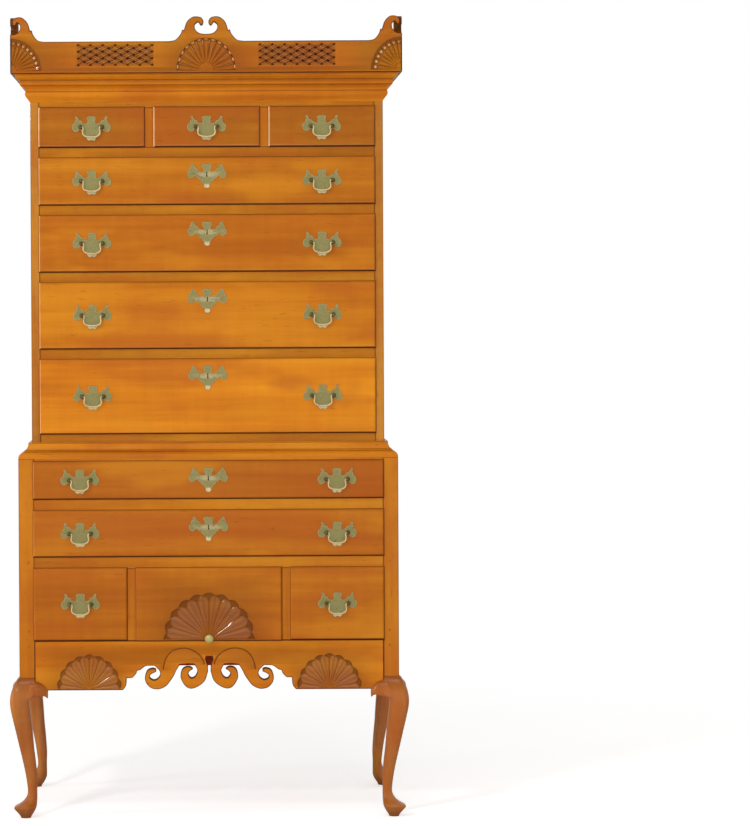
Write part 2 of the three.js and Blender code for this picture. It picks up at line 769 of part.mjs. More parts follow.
// One drawer with its plates and bolts joined on, in a group with its bails.
// The group's origin lies in the case's front plane, under the middle of the drawer.
function drawer(name, { width, height, length, x, y, z, pulls, lock, knobbed }) {
  const boxHalf = width / 2 - lipOverlap - sideClearance;
  const boxHeight = height - lipOverlap - topClearance;
  const pullHeight = height / 2;
  const box = block(-boxHalf, boxHalf, -frontProud / 2, length, 0, boxHeight);
  const hollow = block(
    drawerSide - boxHalf,
    boxHalf - drawerSide,
    frontInside,
    length - drawerBack,
    drawerBottom,
    boxHeight + overrun,
  );
  const brasses = pulls.flatMap(([pullX]) => [
    plate(1).translate(pullX, 0, pullHeight),
    bolt(-boltSpacing / 2).translate(pullX, 0, pullHeight),
    bolt(boltSpacing / 2).translate(pullX, 0, pullHeight),
  ]);
  if (lock) {
    brasses.push(plate(escutcheonSizeShare).translate(0, 0, height - escutcheonBelowTop));
  }
  if (knobbed) {
    brasses.push(knob().translate(0, -frontProud / 2, knobAboveEdge));
  }
  const shell = cut(box, hollow);
  const group = new THREE.Group();
  group.position.set(x, y, z);
  group.add(piece(`drawer_${name}`, joined(shell, drawerFront(width, height), ...brasses), maple()));
  pulls.forEach(([pullX, suffix]) => {
    const hanging = bail(`bail_${name}${suffix}`);
    hanging.position.set(pullX, -frontProud - pivotOut, pullHeight);
    group.add(hanging);
  });
  return group;
}

const upperLength = upperBackFace - upperFrontY - backClearance;
const lowerLength = lowerBackFace - frontY - backClearance;
const upperPair = [[-smallPitch, '_left'], [smallPitch, '_right']];
const lowerPair = [[-sidePitch, '_left'], [sidePitch, '_right']];
const single = [[0, '']];

function upperDrawers() {
  const shared = { length: upperLength, y: upperFrontY };
  const small = { ...shared, width: smallFront, height: firstRowFront, z: firstBase, pulls: single };
  const wide = { ...shared, width: upperFrontSpan, x: 0, pulls: upperPair, lock: true };
  return [
    drawer('row1_left', { ...small, x: -smallPitch }),
    drawer('row1_middle', { ...small, x: 0 }),
    drawer('row1_right', { ...small, x: smallPitch }),
    drawer('row2', { ...wide, height: secondRowFront, z: secondBase }),
    drawer('row3', { ...wide, height: thirdRowFront, z: thirdBase }),
    drawer('row4', { ...wide, height: fourthRowFront, z: fourthBase }),
    drawer('row5', { ...wide, height: fifthRowFront, z: fifthBase }),
  ];
}

function lowerDrawers() {
  const shared = { length: lowerLength, y: frontY };
  const wide = { ...shared, width: lowerFrontSpan, x: 0, pulls: lowerPair, lock: true };
  const side = { ...shared, width: sideFront, height: eighthRowFront, z: eighthBase, pulls: single };
  const fan = { ...side, width: fanDrawerFront, x: 0, pulls: [], knobbed: true };
  return [
    drawer('row6', { ...wide, height: sixthRowFront, z: sixthBase }),
    drawer('row7', { ...wide, height: seventhRowFront, z: seventhBase }),
    drawer('row8_left', { ...side, x: -sidePitch }),
    drawer('row8_middle', fan),
    drawer('row8_right', { ...side, x: sidePitch }),
  ];
}

// Assembly

function lowerCase() {
  const group = new THREE.Group();
  const seventhShelf = seventhBase - slideGap;
  const sixthShelf = sixthBase - slideGap;
  const eighthTop = eighthBase + eighthRowFront - lipOverlap;
  const seventhTop = seventhBase + seventhRowFront - lipOverlap;
  group.add(
    leg('leg_front_left', -1, -1),
    leg('leg_front_right', 1, -1),
    leg('leg_back_left', -1, 1),
    leg('leg_back_right', 1, 1),
    apron(),
    lowerSide('lower_side_left', -1),
    lowerSide('lower_side_right', 1),
    lowerBack(),
    lowerBottomShelf(),
    lowerShelf('lower_shelf_row8', eighthTop, seventhShelf, []),
    lowerShelf('lower_shelf_row7', seventhTop, sixthShelf, []),
    lowerTopFrame(),
    divider('lower_divider_left', -lowerDividerX, frontY, apronTop, eighthTop),
    divider('lower_divider_right', lowerDividerX, frontY, apronTop, eighthTop),
    waistMoulding(),
    ...lowerDrawers(),
  );
  return group;
}

function upperCase() {
  const group = new THREE.Group();
  const firstShelf = firstBase - slideGap;
  const guideTop = firstShelf - (secondBase + secondRowFront - lipOverlap);
  group.add(
    upperSide('upper_side_left', -1),
    upperSide('upper_side_right', 1),
    upperBack(),
    upperBottom(),
    upperShelf('upper_shelf_row5', fifthBase + fifthRowFront - lipOverlap, fourthBase - slideGap, []),
    upperShelf('upper_shelf_row4', fourthBase + fourthRowFront - lipOverlap, thirdBase - slideGap, []),
    upperShelf('upper_shelf_row3', thirdBase + thirdRowFront - lipOverlap, secondBase - slideGap, []),
    upperShelf(
      'upper_shelf_row2',
      secondBase + secondRowFront - lipOverlap,
      firstShelf,
      dividerGuides(upperDividerX, upperFrontY, upperBackFace, guideTop),
    ),
    divider('upper_divider_left', -upperDividerX, upperFrontY, firstShelf, topRailBottom),
    divider('upper_divider_right', upperDividerX, upperFrontY, firstShelf, topRailBottom),
    upperTopRail(),
    upperTopBoard(),
    cornice(),
    galleryFront(),
    gallerySide('gallery_left', -1),
    gallerySide('gallery_right', 1),
    ...upperDrawers(),
  );
  return group;
}

const highboy = new THREE.Group();
highboy.add(lowerCase(), upperCase());

export default highboy;
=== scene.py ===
import math

import bmesh
import bpy
import numpy as np
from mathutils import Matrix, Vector
from mathutils.geometry import tessellate_polygon


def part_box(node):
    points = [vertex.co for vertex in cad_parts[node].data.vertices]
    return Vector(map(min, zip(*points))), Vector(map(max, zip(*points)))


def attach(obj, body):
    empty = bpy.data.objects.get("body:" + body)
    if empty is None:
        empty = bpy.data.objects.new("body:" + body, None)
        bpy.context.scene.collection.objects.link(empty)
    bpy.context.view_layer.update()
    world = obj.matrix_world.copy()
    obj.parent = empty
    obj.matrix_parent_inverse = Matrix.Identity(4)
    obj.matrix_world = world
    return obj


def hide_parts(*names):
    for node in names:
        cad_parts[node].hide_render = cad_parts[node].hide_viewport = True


# A maple highboy: carved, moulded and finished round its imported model
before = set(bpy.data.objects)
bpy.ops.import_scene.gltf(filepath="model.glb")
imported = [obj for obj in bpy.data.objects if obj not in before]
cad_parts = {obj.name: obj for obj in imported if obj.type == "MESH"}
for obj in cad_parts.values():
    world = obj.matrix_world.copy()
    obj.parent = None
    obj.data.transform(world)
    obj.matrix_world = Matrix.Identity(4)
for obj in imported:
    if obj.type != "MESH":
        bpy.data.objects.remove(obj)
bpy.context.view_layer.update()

# Sizes are in millimetres and turned into metres when a mesh is made
MM = 0.001
TAU = 2 * math.pi


def node_box(node):
    low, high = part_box(node)
    return Vector(low) / MM, Vector(high) / MM


# Places read from the frame
side_high = node_box("lower_side_right")[1]
back_low, back_high = node_box("lower_back")
apron_low, apron_high = node_box("apron")
upper_side_low, upper_side_high = node_box("upper_side_right")
cornice_base = node_box("cornice")[0].z
waist_base = node_box("waist_moulding")[0].z
gallery_low, gallery_high = node_box("gallery_front")
lower_half = side_high.x
front_y = apron_low.y
back_y = back_high.y
lower_top = side_high.z
apron_bottom = apron_low.z
upper_half = upper_side_high.x
upper_front_y = upper_side_low.y
gallery_half = gallery_high.x
gallery_front_y = gallery_low.y
gallery_base = gallery_low.z

# Driving sizes
SEAM = 0.2
POST = 40
KNEE_TOP = 372
RIM_DROP = 18.5
RIM_IN = 16
EASE = 0.8
RAIL_EASE = 0.3
# Width of the painted shade line just inside an eased board's front arris
SHADE_LINE = 1.4
OUTLINE_EASE = 1
# A cut board's outline: its sawn edges darkened as dirt, and a painted shade line inside its front arris, as
# wide as this
OUTLINE_LINE = 1.9
OUTLINE_SHADE_AND_DIRT = (0, 0.5, 0.9, 0.95, 0.95, 0)
FRONT_INSIDE = 14
LIP_SIDE = 4
LIP_TOP = 6.5
LIP_BACK = 0.3
FRONT_PROUD = 7
BOX_BOARD = 12
BOX_BOTTOM = 8
BOX_GROOVE = 4
TAIL_PITCH = 27
TAIL_FLARE = 2.2
TAIL_GAP = 0.12
TAIL_START = 3
PLATE_THICK = 1.6
BOLT_HALF = 28.5
PIVOT_OUT = 9.5
WIRE_RADIUS = 2
WIRE_SIDES = 14
GALLERY_THICK = 20
FINIAL_HEIGHT = 147.5
FINIAL_HALF = 98
CORNER_FINIAL_SHARE = 0.9
GALLERY_FLAT = 83
SCROLL_SPAN = 228
SCROLL_RISE = 88
APRON_THICK = 22


# Nodes: a socket that can stand in a sum, and a tree that is written in calls

class Value:
    def __init__(self, graph, socket):
        self.graph = graph
        self.socket = socket

    def other(self, output):
        return Value(self.graph, self.socket.node.outputs[output])

    def maths(self, operation, first, second):
        return self.graph.add("ShaderNodeMath", {"operation": operation}, {0: first, 1: second})

    def __add__(self, value):
        return self.maths("ADD", self, value)

    def __radd__(self, value):
        return self.maths("ADD", value, self)

    def __sub__(self, value):
        return self.maths("SUBTRACT", self, value)

    def __rsub__(self, value):
        return self.maths("SUBTRACT", value, self)

    def __mul__(self, value):
        return self.maths("MULTIPLY", self, value)

    def __rmul__(self, value):
        return self.maths("MULTIPLY", value, self)

    def __truediv__(self, value):
        return self.maths("DIVIDE", self, value)

    def __rtruediv__(self, value):
        return self.maths("DIVIDE", value, self)


class Graph:
    def __init__(self, tree):
        self.tree = tree
        tree.nodes.clear()

    def add(self, kind, settings=None, inputs=None, output=0):
        node = self.tree.nodes.new(kind)
        for key, setting in (settings or {}).items():
            if key == "stops":
                self.set_stops(node.color_ramp, setting)
            else:
                setattr(node, key, setting)
        for key, value in (inputs or {}).items():
            if isinstance(value, Value):
                self.tree.links.new(value.socket, node.inputs[key])
            else:
                node.inputs[key].default_value = value
        return Value(self, node.outputs[output]) if len(node.outputs) else node

    @staticmethod
    def set_stops(ramp, stops):
        while len(ramp.elements) < len(stops):
            ramp.elements.new(0.5)
        for element, (place, colour) in zip(ramp.elements, stops):
            element.position = place
            element.color = colour

    def noise(self, place, stretch, detail=3, roughness=0.55):
        scaled = self.add("ShaderNodeVectorMath", {"operation": "MULTIPLY"}, {0: place, 1: stretch})
        settings = {"noise_dimensions": "3D"}
        inputs = {"Vector": scaled, "Scale": 1, "Detail": detail, "Roughness": roughness}
        return self.add("ShaderNodeTexNoise", settings, inputs)

    def spread(self, value, low, high, start=0, end=1):
        inputs = {"Value": value, "From Min": low, "From Max": high, "To Min": start, "To Max": end}
        return self.add("ShaderNodeMapRange", {"interpolation_type": "SMOOTHSTEP"}, inputs)

    def mix(self, factor, first, second, blend="MIX"):
        settings = {"data_type": "RGBA", "blend_type": blend, "clamp_factor": True}
        return self.add("ShaderNodeMix", settings, {0: factor, 6: first, 7: second}, output=2)

    def attribute(self, name):
        return self.add("ShaderNodeAttribute", {"attribute_name": name}, output="Fac")


def linear(red, green, blue, alpha=1):
    """A colour written as it looks on the screen, 0 to 255, made linear."""
    shares = [channel / 255 for channel in (red, green, blue)]
    bent = [s / 12.92 if s <= 0.04045 else ((s + 0.055) / 1.055) ** 2.4 for s in shares]
    return (*bent, alpha)


def new_material(name):
    material = bpy.data.materials.new(name)
    material.use_nodes = True
    return material, Graph(material.node_tree)


def finish_material(graph, shader):
    graph.add("ShaderNodeOutputMaterial", inputs={"Surface": shader})


# Woods

GRAIN_TURNS = {"x": "XYZ", "y": "YZX", "z": "ZXY"}
# The dark paints shade into recesses, cuts, seams and edges that turn away, and also dirt and pore marks; the
# pale paints highlights on edges and carving, and also wear
SHADE_AND_GRIME_COLOUR = linear(74, 32, 8)
WEAR_AND_HIGHLIGHT_COLOUR = linear(240, 186, 128)
RED_CLOUD = linear(176, 84, 20)
GOLD_CLOUD = linear(216, 138, 24)
# How strongly curly boards take the red and the gold
RED_SHARE = 0.5
GOLD_SHARE = 0.45
JOINT_LINE = 2.2


def wood(name, grain, dark, middle, light, seed, rough=0.38, curl=0.5, coat=0.05, joint=None):
    """Wood with its grain along one axis; joint is how far out a rail meets its posts."""
    material, g = new_material(name)
    place = g.add("ShaderNodeTexCoord", output="Object")
    split = g.add("ShaderNodeSeparateXYZ", inputs={0: place})
    axes = {"X": split, "Y": split.other("Y"), "Z": split.other("Z")}
    along, across, deep = (axes[letter] for letter in GRAIN_TURNS[grain])
    shifts = (seed * 1.37, seed * 0.73, seed * 0.41)
    moved = {i: axis + shift for i, (axis, shift) in enumerate(zip((along, across, deep), shifts))}
    board = g.add("ShaderNodeCombineXYZ", inputs=moved)
    streak = g.noise(board, (1.4, 34, 34), 5)
    broad = g.noise(board, (0.7, 6, 6), 2)
    fibre = g.noise(board, (16, 900, 900), 2)
    flame = g.noise(board, (44, 5, 5), 2)
    specks = g.noise(board, (30, 260, 260), 1)
    tone = streak * 0.5 + broad * 0.42 + flame * (0.2 * curl) + fibre * 0.1 - 0.1 * curl
    stops = [(0.3, dark), (0.5, middle), (0.7, light)]
    plain = g.add("ShaderNodeValToRGB", {"stops": stops}, {0: tone})
    cloud = g.noise(board, (2.6, 7, 7), 3)
    red, gold = (RED_SHARE, GOLD_SHARE) if curl else (0, 0)
    redder = g.mix(g.spread(cloud, 0.48, 0.66, 0, red), plain, RED_CLOUD)
    body = g.mix(g.spread(cloud, 0.32, 0.46, gold, 0), redder, GOLD_CLOUD)
    pores = g.spread(specks, 0.68, 0.78, 0, 0.3)
    marked = g.mix(pores, body, SHADE_AND_GRIME_COLOUR)
    # Painted shade and dirt from each point's darkening, and a dark joint line where a rail meets its posts
    shade_and_soil = g.attribute("grime")
    if joint:
        reach = g.add("ShaderNodeMath", {"operation": "ABSOLUTE"}, {0: split})
        shade_and_soil = shade_and_soil + g.spread(reach, (joint - JOINT_LINE) * MM, joint * MM, 0, 0.8)
    grime = shade_and_soil * (broad * 0.5 + 0.75)
    darkened = g.mix(grime, marked, SHADE_AND_GRIME_COLOUR)
    # Painted highlights and wear from each point's lightening, which also make the coat glossier there
    wear_highlight_amount = g.attribute("worn")
    worn = g.spread(wear_highlight_amount, 0.1, 0.9) * (streak * 0.9 + 0.3)
    colour = g.mix(worn, darkened, WEAR_AND_HIGHLIGHT_COLOUR)
    height = g.add("ShaderNodeMath", {"operation": "ADD"}, {0: streak * 0.7, 1: fibre * 0.3})
    bump = g.add("ShaderNodeBump", inputs={"Strength": 0.3, "Distance": 0.0004, "Height": height})
    roughness = rough + broad * 0.12 + grime * 0.1 - 0.05
    shader = g.add("ShaderNodeBsdfPrincipled", inputs={
        "Base Color": colour, "Roughness": roughness, "Normal": bump,
        "Coat Weight": coat + streak * 0.06 + g.spread(wear_highlight_amount, 0, 0.12, 0, 0.7),
        "Coat Roughness": 0.14, "Specular IOR Level": 0.1,
    })
    finish_material(g, shader)
    return material


def tone_of(shade, red=1.0):
    """The dark, middle and light of the maple, scaled to a board's brightness and redness, which for some boards
    also hold painted light.
    """
    tones = ((166, 86, 10), (196, 110, 14), (216, 134, 24))
    return [linear(min(255, r * shade * red), g * shade, b * shade) for r, g, b in tones]


# Brightness and redness of each row's fronts: partly the boards' own tone, partly painted light, a varnish sheen
# that makes the middle rows brightest
FRONT_TONES_AND_SHEEN = {
    1: (0.82, 1.02), 2: (1.005, 0.97), 3: (0.935, 1.02), 4: (1.05, 0.97),
    5: (1.15, 0.955), 6: (0.855, 1.05), 7: (0.91, 1.02), 8: (0.955, 1),
}
front_wood = {row: wood(f"maple_front_{row}", "x", *tone_of(*tone_and_sheen), seed=row * 1.9)
              for row, tone_and_sheen in FRONT_TONES_AND_SHEEN.items()}
upper_rail_wood = wood("maple_upper_rails", "x", *tone_of(0.98, 0.94), seed=21.3,
                       joint=node_box("upper_shelf_row5")[1].x)
# The lower rails are made brighter than the upper ones as painted light against the shadow of the lips over them
lower_rail_wood = wood("maple_lower_rails", "x", *tone_of(1.02, 0.96), seed=22.6,
                       joint=node_box("apron")[1].x)
apron_wood = wood("maple_apron", "x", *tone_of(1.03), seed=24.1, curl=0.3)
post_wood = wood("maple_posts", "z", *tone_of(1.03, 0.97), seed=27.7)
# The legs' paler, bluer tone is partly painted sheen, the white room seen at grazing angles
LEG_TONES = [linear(152, 86, 34), linear(182, 109, 48), linear(202, 134, 64)]
leg_wood = wood("maple_legs", "z", *LEG_TONES, seed=27.7, rough=0.32, coat=0.24)
SIDE_TONES = [linear(158, 92, 24), linear(188, 120, 38), linear(208, 142, 54)]
side_wood = wood("maple_sides", "z", *SIDE_TONES, seed=31.9, curl=0.8)
divider_wood = wood("maple_dividers", "z", *tone_of(0.96), seed=34.3)
# The mouldings are made brighter as painted light, since they face down and take little light
moulding_wood = wood("maple_mouldings", "x", *tone_of(1.1, 0.96), seed=37.1)
return_wood = wood("maple_moulding_returns", "y", *tone_of(1, 0.96), seed=39.7)
gallery_wood = wood("maple_gallery", "x", *tone_of(0.95, 0.97), seed=43.3, curl=0.2)
gallery_side_wood = wood("maple_gallery_sides", "y", *tone_of(0.95, 0.97), seed=46.9, curl=0.2)

PINE_TONES = [linear(132, 98, 62), linear(164, 126, 82), linear(190, 152, 104)]
OLD_PINE_TONES = [linear(92, 74, 54), linear(122, 98, 72), linear(148, 122, 92)]
pine_across = wood("pine_across", "x", *PINE_TONES, seed=51.1, rough=0.68, curl=0, coat=0)
pine_along = wood("pine_along", "y", *PINE_TONES, seed=54.7, rough=0.68, curl=0, coat=0)
pine_upright = wood("pine_upright", "z", *OLD_PINE_TONES, seed=57.3, rough=0.74, curl=0, coat=0)
pine_top = wood("pine_top", "x", *OLD_PINE_TONES, seed=59.9, rough=0.78, curl=0, coat=0)
INSIDE_TONES = [linear(124, 38, 16), linear(146, 50, 22), linear(166, 66, 30)]
pine_inside = wood("pine_inside", "x", *INSIDE_TONES, seed=62.3, rough=0.7, curl=0, coat=0)


# Metals

def metal(name, dull, bright, rough, metallic, stain=0.5):
    material, g = new_material(name)
    place = g.add("ShaderNodeTexCoord", output="Object")
    patches = g.noise(place, (170, 170, 170), 4, 0.65)
    pits = g.noise(place, (700, 700, 700), 2)
    # Each point's darkening paints shade on the plates' rims and keyholes and on the bails' turned-away sides;
    # its lightening paints highlights on the bevels, together with the patches' own polish
    grime = g.attribute("grime")
    worn = g.attribute("worn")
    polish_and_highlight = g.spread(patches * 0.8 + worn * 0.6, 0.42, 0.8)
    wear_highlight_amount = g.mix(polish_and_highlight, dull, bright)
    stained = g.mix(g.spread(patches, 0.52, 0.7, 0, stain), wear_highlight_amount, linear(136, 142, 96))
    hollows = g.spread(patches, 0.3, 0.44, 0.5, 0)
    soiled = g.mix(hollows, stained, linear(96, 88, 44))
    colour = g.mix(grime * 0.92, soiled, linear(46, 34, 14))
    bump = g.add("ShaderNodeBump", inputs={"Strength": 0.3, "Distance": 0.0003, "Height": pits * 0.5 + patches})
    shader = g.add("ShaderNodeBsdfPrincipled", inputs={
        "Base Color": colour, "Metallic": metallic - grime * 0.3,
        "Roughness": rough + patches * 0.16 - polish_and_highlight * 0.1, "Normal": bump,
    })
    finish_material(g, shader)
    return material


plate_brass = metal("brass_plates", linear(150, 142, 84), linear(226, 204, 150), 0.36, 0.35)
bail_brass = metal("brass_bails", linear(226, 198, 142), linear(252, 232, 192), 0.26, 0.3, stain=0.1)
bolt_brass = metal("brass_bolts", linear(98, 84, 42), linear(170, 150, 92), 0.3, 0.6)
knob_brass = metal("brass_knob", linear(192, 182, 112), linear(240, 228, 172), 0.26, 0.4, stain=0.2)
# A dark iron that stands for the lock behind the keyhole and for the painted shade in the hole
keyhole_dark_iron = metal("iron_lock_and_keyhole_shade", linear(34, 28, 22), linear(60, 52, 42), 0.6, 0.5)


# Meshes

def outward_mesh(name, points, faces):
    """A mesh from points in millimetres, its faces turned outwards."""
    mesh = bpy.data.meshes.new(name)
    mesh.from_pydata([tuple(coordinate * MM for coordinate in point) for point in points], [], faces)
    shell = bmesh.new()
    shell.from_mesh(mesh)
    bmesh.ops.recalc_face_normals(shell, faces=shell.faces)
    shell.to_mesh(mesh)
    shell.free()
    return mesh


def set_values(mesh, **values):
    """Keeps a number for each point, such as its darkening by painted shade and dirt, or its lightening by
    painted highlight and wear.
    """
    for key, numbers in values.items():
        layer = mesh.attributes.new(key, "FLOAT", "POINT")
        layer.data.foreach_set("value", np.asarray(numbers, dtype=np.float32))


def linked(name, data):
    """An object for a mesh, a lamp or a camera, set in the scene."""
    thing = bpy.data.objects.new(name, data)
    bpy.context.collection.objects.link(thing)
    return thing


def build(name, points, faces, material, body="case", slot="maple", stands_for=(), angle=34, **values):
    """Makes one piece from points in millimetres, and rides it on its body."""
    mesh = outward_mesh(name, points, faces)
    set_values(mesh, **values)
    return dress(linked(name, mesh), material, body, stands_for, angle)


def dress(thing, material, body, stands_for=(), angle=34):
    """Gives a finished mesh its shading, material and body."""
    thing.data.materials.clear()
    thing.data.materials.append(material)
    thing.data.shade_smooth()
    thing.data.set_sharp_from_angle(angle=math.radians(angle))
    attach(thing, body)
    if stands_for:
        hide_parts(*stands_for)
    return thing


class Shell:
    """Points and faces gathered from several closed forms."""

    def __init__(self):
        self.points = []
        self.faces = []
        self.grime = []
        self.worn = []

    def add(self, points, faces, grime=None, worn=None):
        start = len(self.points)
        self.points.extend(points)
        self.faces.extend([tuple(start + i for i in face) for face in faces])
        self.grime.extend(grime if grime is not None else [0] * len(points))
        self.worn.extend(worn if worn is not None else [0] * len(points))

    def make(self, name, material, **settings):
        values = {"grime": self.grime, "worn": self.worn}
        return build(name, self.points, self.faces, material, **settings, **values)


def bands(rings, count, start=0):
    """The faces between rings of points that are numbered one after another."""
    return [(near + i, near + (i + 1) % count, near + count + (i + 1) % count, near + count + i)
            for near in range(start, start + (rings - 1) * count, count) for i in range(count)]


def loft(rings, ring_shade_and_grime=None, ring_wear_and_highlight=None):
    """A skin through equal rings, capped at both ends."""
    count = len(rings[0])
    points = [point for ring in rings for point in ring]
    faces = bands(len(rings), count)
    faces += [tuple(range(count)), tuple(range((len(rings) - 1) * count, len(rings) * count))]
    grime = [value for value in (ring_shade_and_grime or [0] * len(rings)) for _ in range(count)]
    worn = [value for value in (ring_wear_and_highlight or [0] * len(rings)) for _ in range(count)]
    return points, faces, grime, worn


def eased_block(low, high, ease=EASE, shade_and_soil=0.0):
    """A board with its arrises taken off, as rings from its front to its back."""
    (x0, y0, z0), (x1, y1, z1) = low, high

    def ring(inset, y):
        a, b, c, d = x0 + inset, x1 - inset, z0 + inset, z1 - inset
        return [(a, y, c), (b, y, c), (b, y, d), (a, y, d)]
    part = ease * 0.3
    line = ease + SHADE_LINE
    rings = [ring(line, y0), ring(ease, y0), ring(part, y0 + part), ring(0, y0 + ease), ring(0, y0 + line)]
    rings += [ring(0, y1 - ease), ring(part, y1 - part), ring(ease, y1)]
    # The front arris is darkened as painted shade, and the arrises a little lightened as wear
    return loft(rings, [0, shade_and_soil, shade_and_soil, shade_and_soil, 0, 0, 0, 0], [0, 0, 0.2, 0, 0, 0, 0.3, 0])


def piece(name, form, material, **settings):
    """Makes a piece that is a single form: its points and faces, and its painted shade and dirt, and painted
    highlight and wear, if it has them.
    """
    shell = Shell()
    shell.add(*form)
    shell.make(name, material, **settings)


def block(name, low, high, material, ease=EASE, shade_and_soil=0.0, **settings):
    piece(name, eased_block(low, high, ease, shade_and_soil), material, **settings)


def board(node, material, slot="maple", ease=EASE, shade_and_soil=0.0):
    block(f"{node}_board", *node_box(node), material, ease, shade_and_soil, slot=slot, stands_for=(node,))


def smooth_path(points, steps):
    """A smooth run through points, passing through each of them."""
    ends = [2 * np.array(points[0]) - points[1], *map(np.array, points), 2 * np.array(points[-1]) - points[-2]]
    result = []
    for before, start, end, after in zip(ends, ends[1:], ends[2:], ends[3:]):
        for step in range(steps):
            t = step / steps
            bend = 2 * before - 5 * start + 4 * end - after
            twist = 3 * start - before - 3 * end + after
            result.append(0.5 * (2 * start + (end - before) * t + bend * t ** 2 + twist * t ** 3))
    result.append(ends[-2])
    return [tuple(map(float, point)) for point in result]


def stretches(groups, across, high, steps):
    """An outline whose stretches run smoothly and meet at corners."""
    points = []
    for group in groups:
        scaled = [(x * across, z * high) for x, z in group]
        run = smooth_path(scaled, steps) if len(scaled) > 2 else scaled
        points.extend(point for point in run if not points or math.dist(points[-1], point) > 0.05)
    return points


def mirrored(points):
    return [(-x, z) for x, z in reversed(points)]


def closed_loop(points):
    """Drops points that lie on their neighbours."""
    loop = [point for i, point in enumerate(points) if math.dist(point, points[i - 1]) > 0.05]
    area = sum(x * points_next[1] - points_next[0] * z
               for (x, z), points_next in zip(loop, loop[1:] + loop[:1]))
    return loop if area > 0 else loop[::-1]


def inset_loop(loop, distance):
    """Moves an anticlockwise outline inwards."""
    result = []
    for before, point, after in zip(loop[-1:] + loop[:-1], loop, loop[1:] + loop[:1]):
        first = Vector((point[0] - before[0], point[1] - before[1])).normalized()
        second = Vector((after[0] - point[0], after[1] - point[1])).normalized()
        normal = Vector((-first.y - second.y, first.x + second.x))
        if normal.length < 0.3:
            normal = Vector((-first.y, first.x))
        normal.normalize()
        reach = distance / max(0.5, normal.dot(Vector((-first.y, first.x))))
        result.append((point[0] + normal.x * reach, point[1] + normal.y * reach))
    return result


def flat_faces(loops):
    """Triangles that fill the first loop and leave the others open."""
    return tessellate_polygon([[Vector((x, z, 0)) for x, z in loop] for loop in loops])


def cut_board(outline, thickness, front, patches=(), ease=OUTLINE_EASE):
    """A board cut to an outline, its front face opened for carved patches."""
    loop = closed_loop(outline)
    count = len(loop)
    layers = [(ease, front + thickness), (0, front + thickness - ease), (0, front + ease)]
    layers += [(ease * 0.3, front + ease * 0.3), (ease, front), (ease + OUTLINE_LINE, front)]
    points, grime, worn = [], [], []
    # Each ring of the outline is darkened: the sawn edges as dirt, the front arris as painted shade
    for (inset, y), shade_and_soil in zip(layers, OUTLINE_SHADE_AND_DIRT):
        ring = inset_loop(loop, inset) if inset else loop
        points.extend((x, y, z) for x, z in ring)
        grime.extend([shade_and_soil] * count)
        worn.extend([0] * count)
    faces = bands(len(layers), count)
    back_ring = [(points[i][0], points[i][2]) for i in range(count)]
    faces.extend(tuple(face) for face in flat_faces([back_ring]))
    front_start = (len(layers) - 1) * count
    numbers = list(range(front_start, front_start + count))
    loops = [[(points[i][0], points[i][2]) for i in numbers]]
    for patch in patches:
        start = len(points)
        points.extend((x, front + depth, z) for x, z, depth in patch["points"])
        faces.extend(tuple(start + i for i in face) for face in patch["faces"])
        grime.extend(patch["grime"])
        worn.extend(patch["worn"])
        loops.append([patch["points"][i][:2] for i in patch["loop"]])
        numbers.extend(start + i for i in patch["loop"])
    faces.extend(tuple(numbers[i] for i in face) for face in flat_faces(loops))
    return points, faces, grime, worn


# Carving

WALL = 0.35
PER_RAY = 12


def smoothstep(low, high, value):
    t = min(1, max(0, (value - low) / (high - low)))
    return t * t * (3 - 2 * t)


# Each style gives, for a place along and across a ray, the depth, the darkening and the lightening, as shares:
# the darkening is painted shade in the cuts and hollows over a darker carved ground, the lightening painted
# highlights and some wear

def fluted(rho, u, lens_from, lens_to, lens_highlight):
    """Hollow flutes between narrow ridges, each ended near the rim by a small sloping lens."""
    across = 1 - abs(u) ** 2.2
    run = 0.35 + 0.65 * smoothstep(0.15, 0.8, rho)
    depth = 0.06 + 0.8 * run * across
    # The flanks and the ring round each lens are darkened as painted shade; the ridges are lightened as painted
    # highlight and wear, the lens as painted highlight
    flank = smoothstep(0.5, 0.8, abs(u)) * (1 - smoothstep(0.9, 1, abs(u)))
    shade_and_soil = 0.2 + 0.5 * flank * smoothstep(0.2, 0.5, rho)
    wear_and_highlight_share = 0.5 * smoothstep(0.86, 1, abs(u)) * smoothstep(0.3, 0.7, rho)
    lens = lens_from + (1 - lens_from) * 0.5 * u * u
    if rho > lens:
        inside = (rho - lens) / (1 - lens)
        length = (lens_to - lens_from) / (1 - lens_from)
        bright = smoothstep(0.04, 0.3 * length, inside) * (1 - smoothstep(0.7 * length, length, inside))
        bright *= 1 - smoothstep(0.3, 0.62, abs(u))
        return 0.9 - 0.7 * inside, 0.62 * (1 - bright), lens_highlight * bright
    close = smoothstep(lens - 0.04, lens - 0.005, rho)
    return depth, shade_and_soil + (0.62 - shade_and_soil) * close, wear_and_highlight_share * (1 - close)


def gallery_style(rho, u):
    return fluted(rho, u, 0.915, 0.99, 0.62)


def corner_style(rho, u):
    return fluted(rho, u, 0.79, 0.9, 0.8)


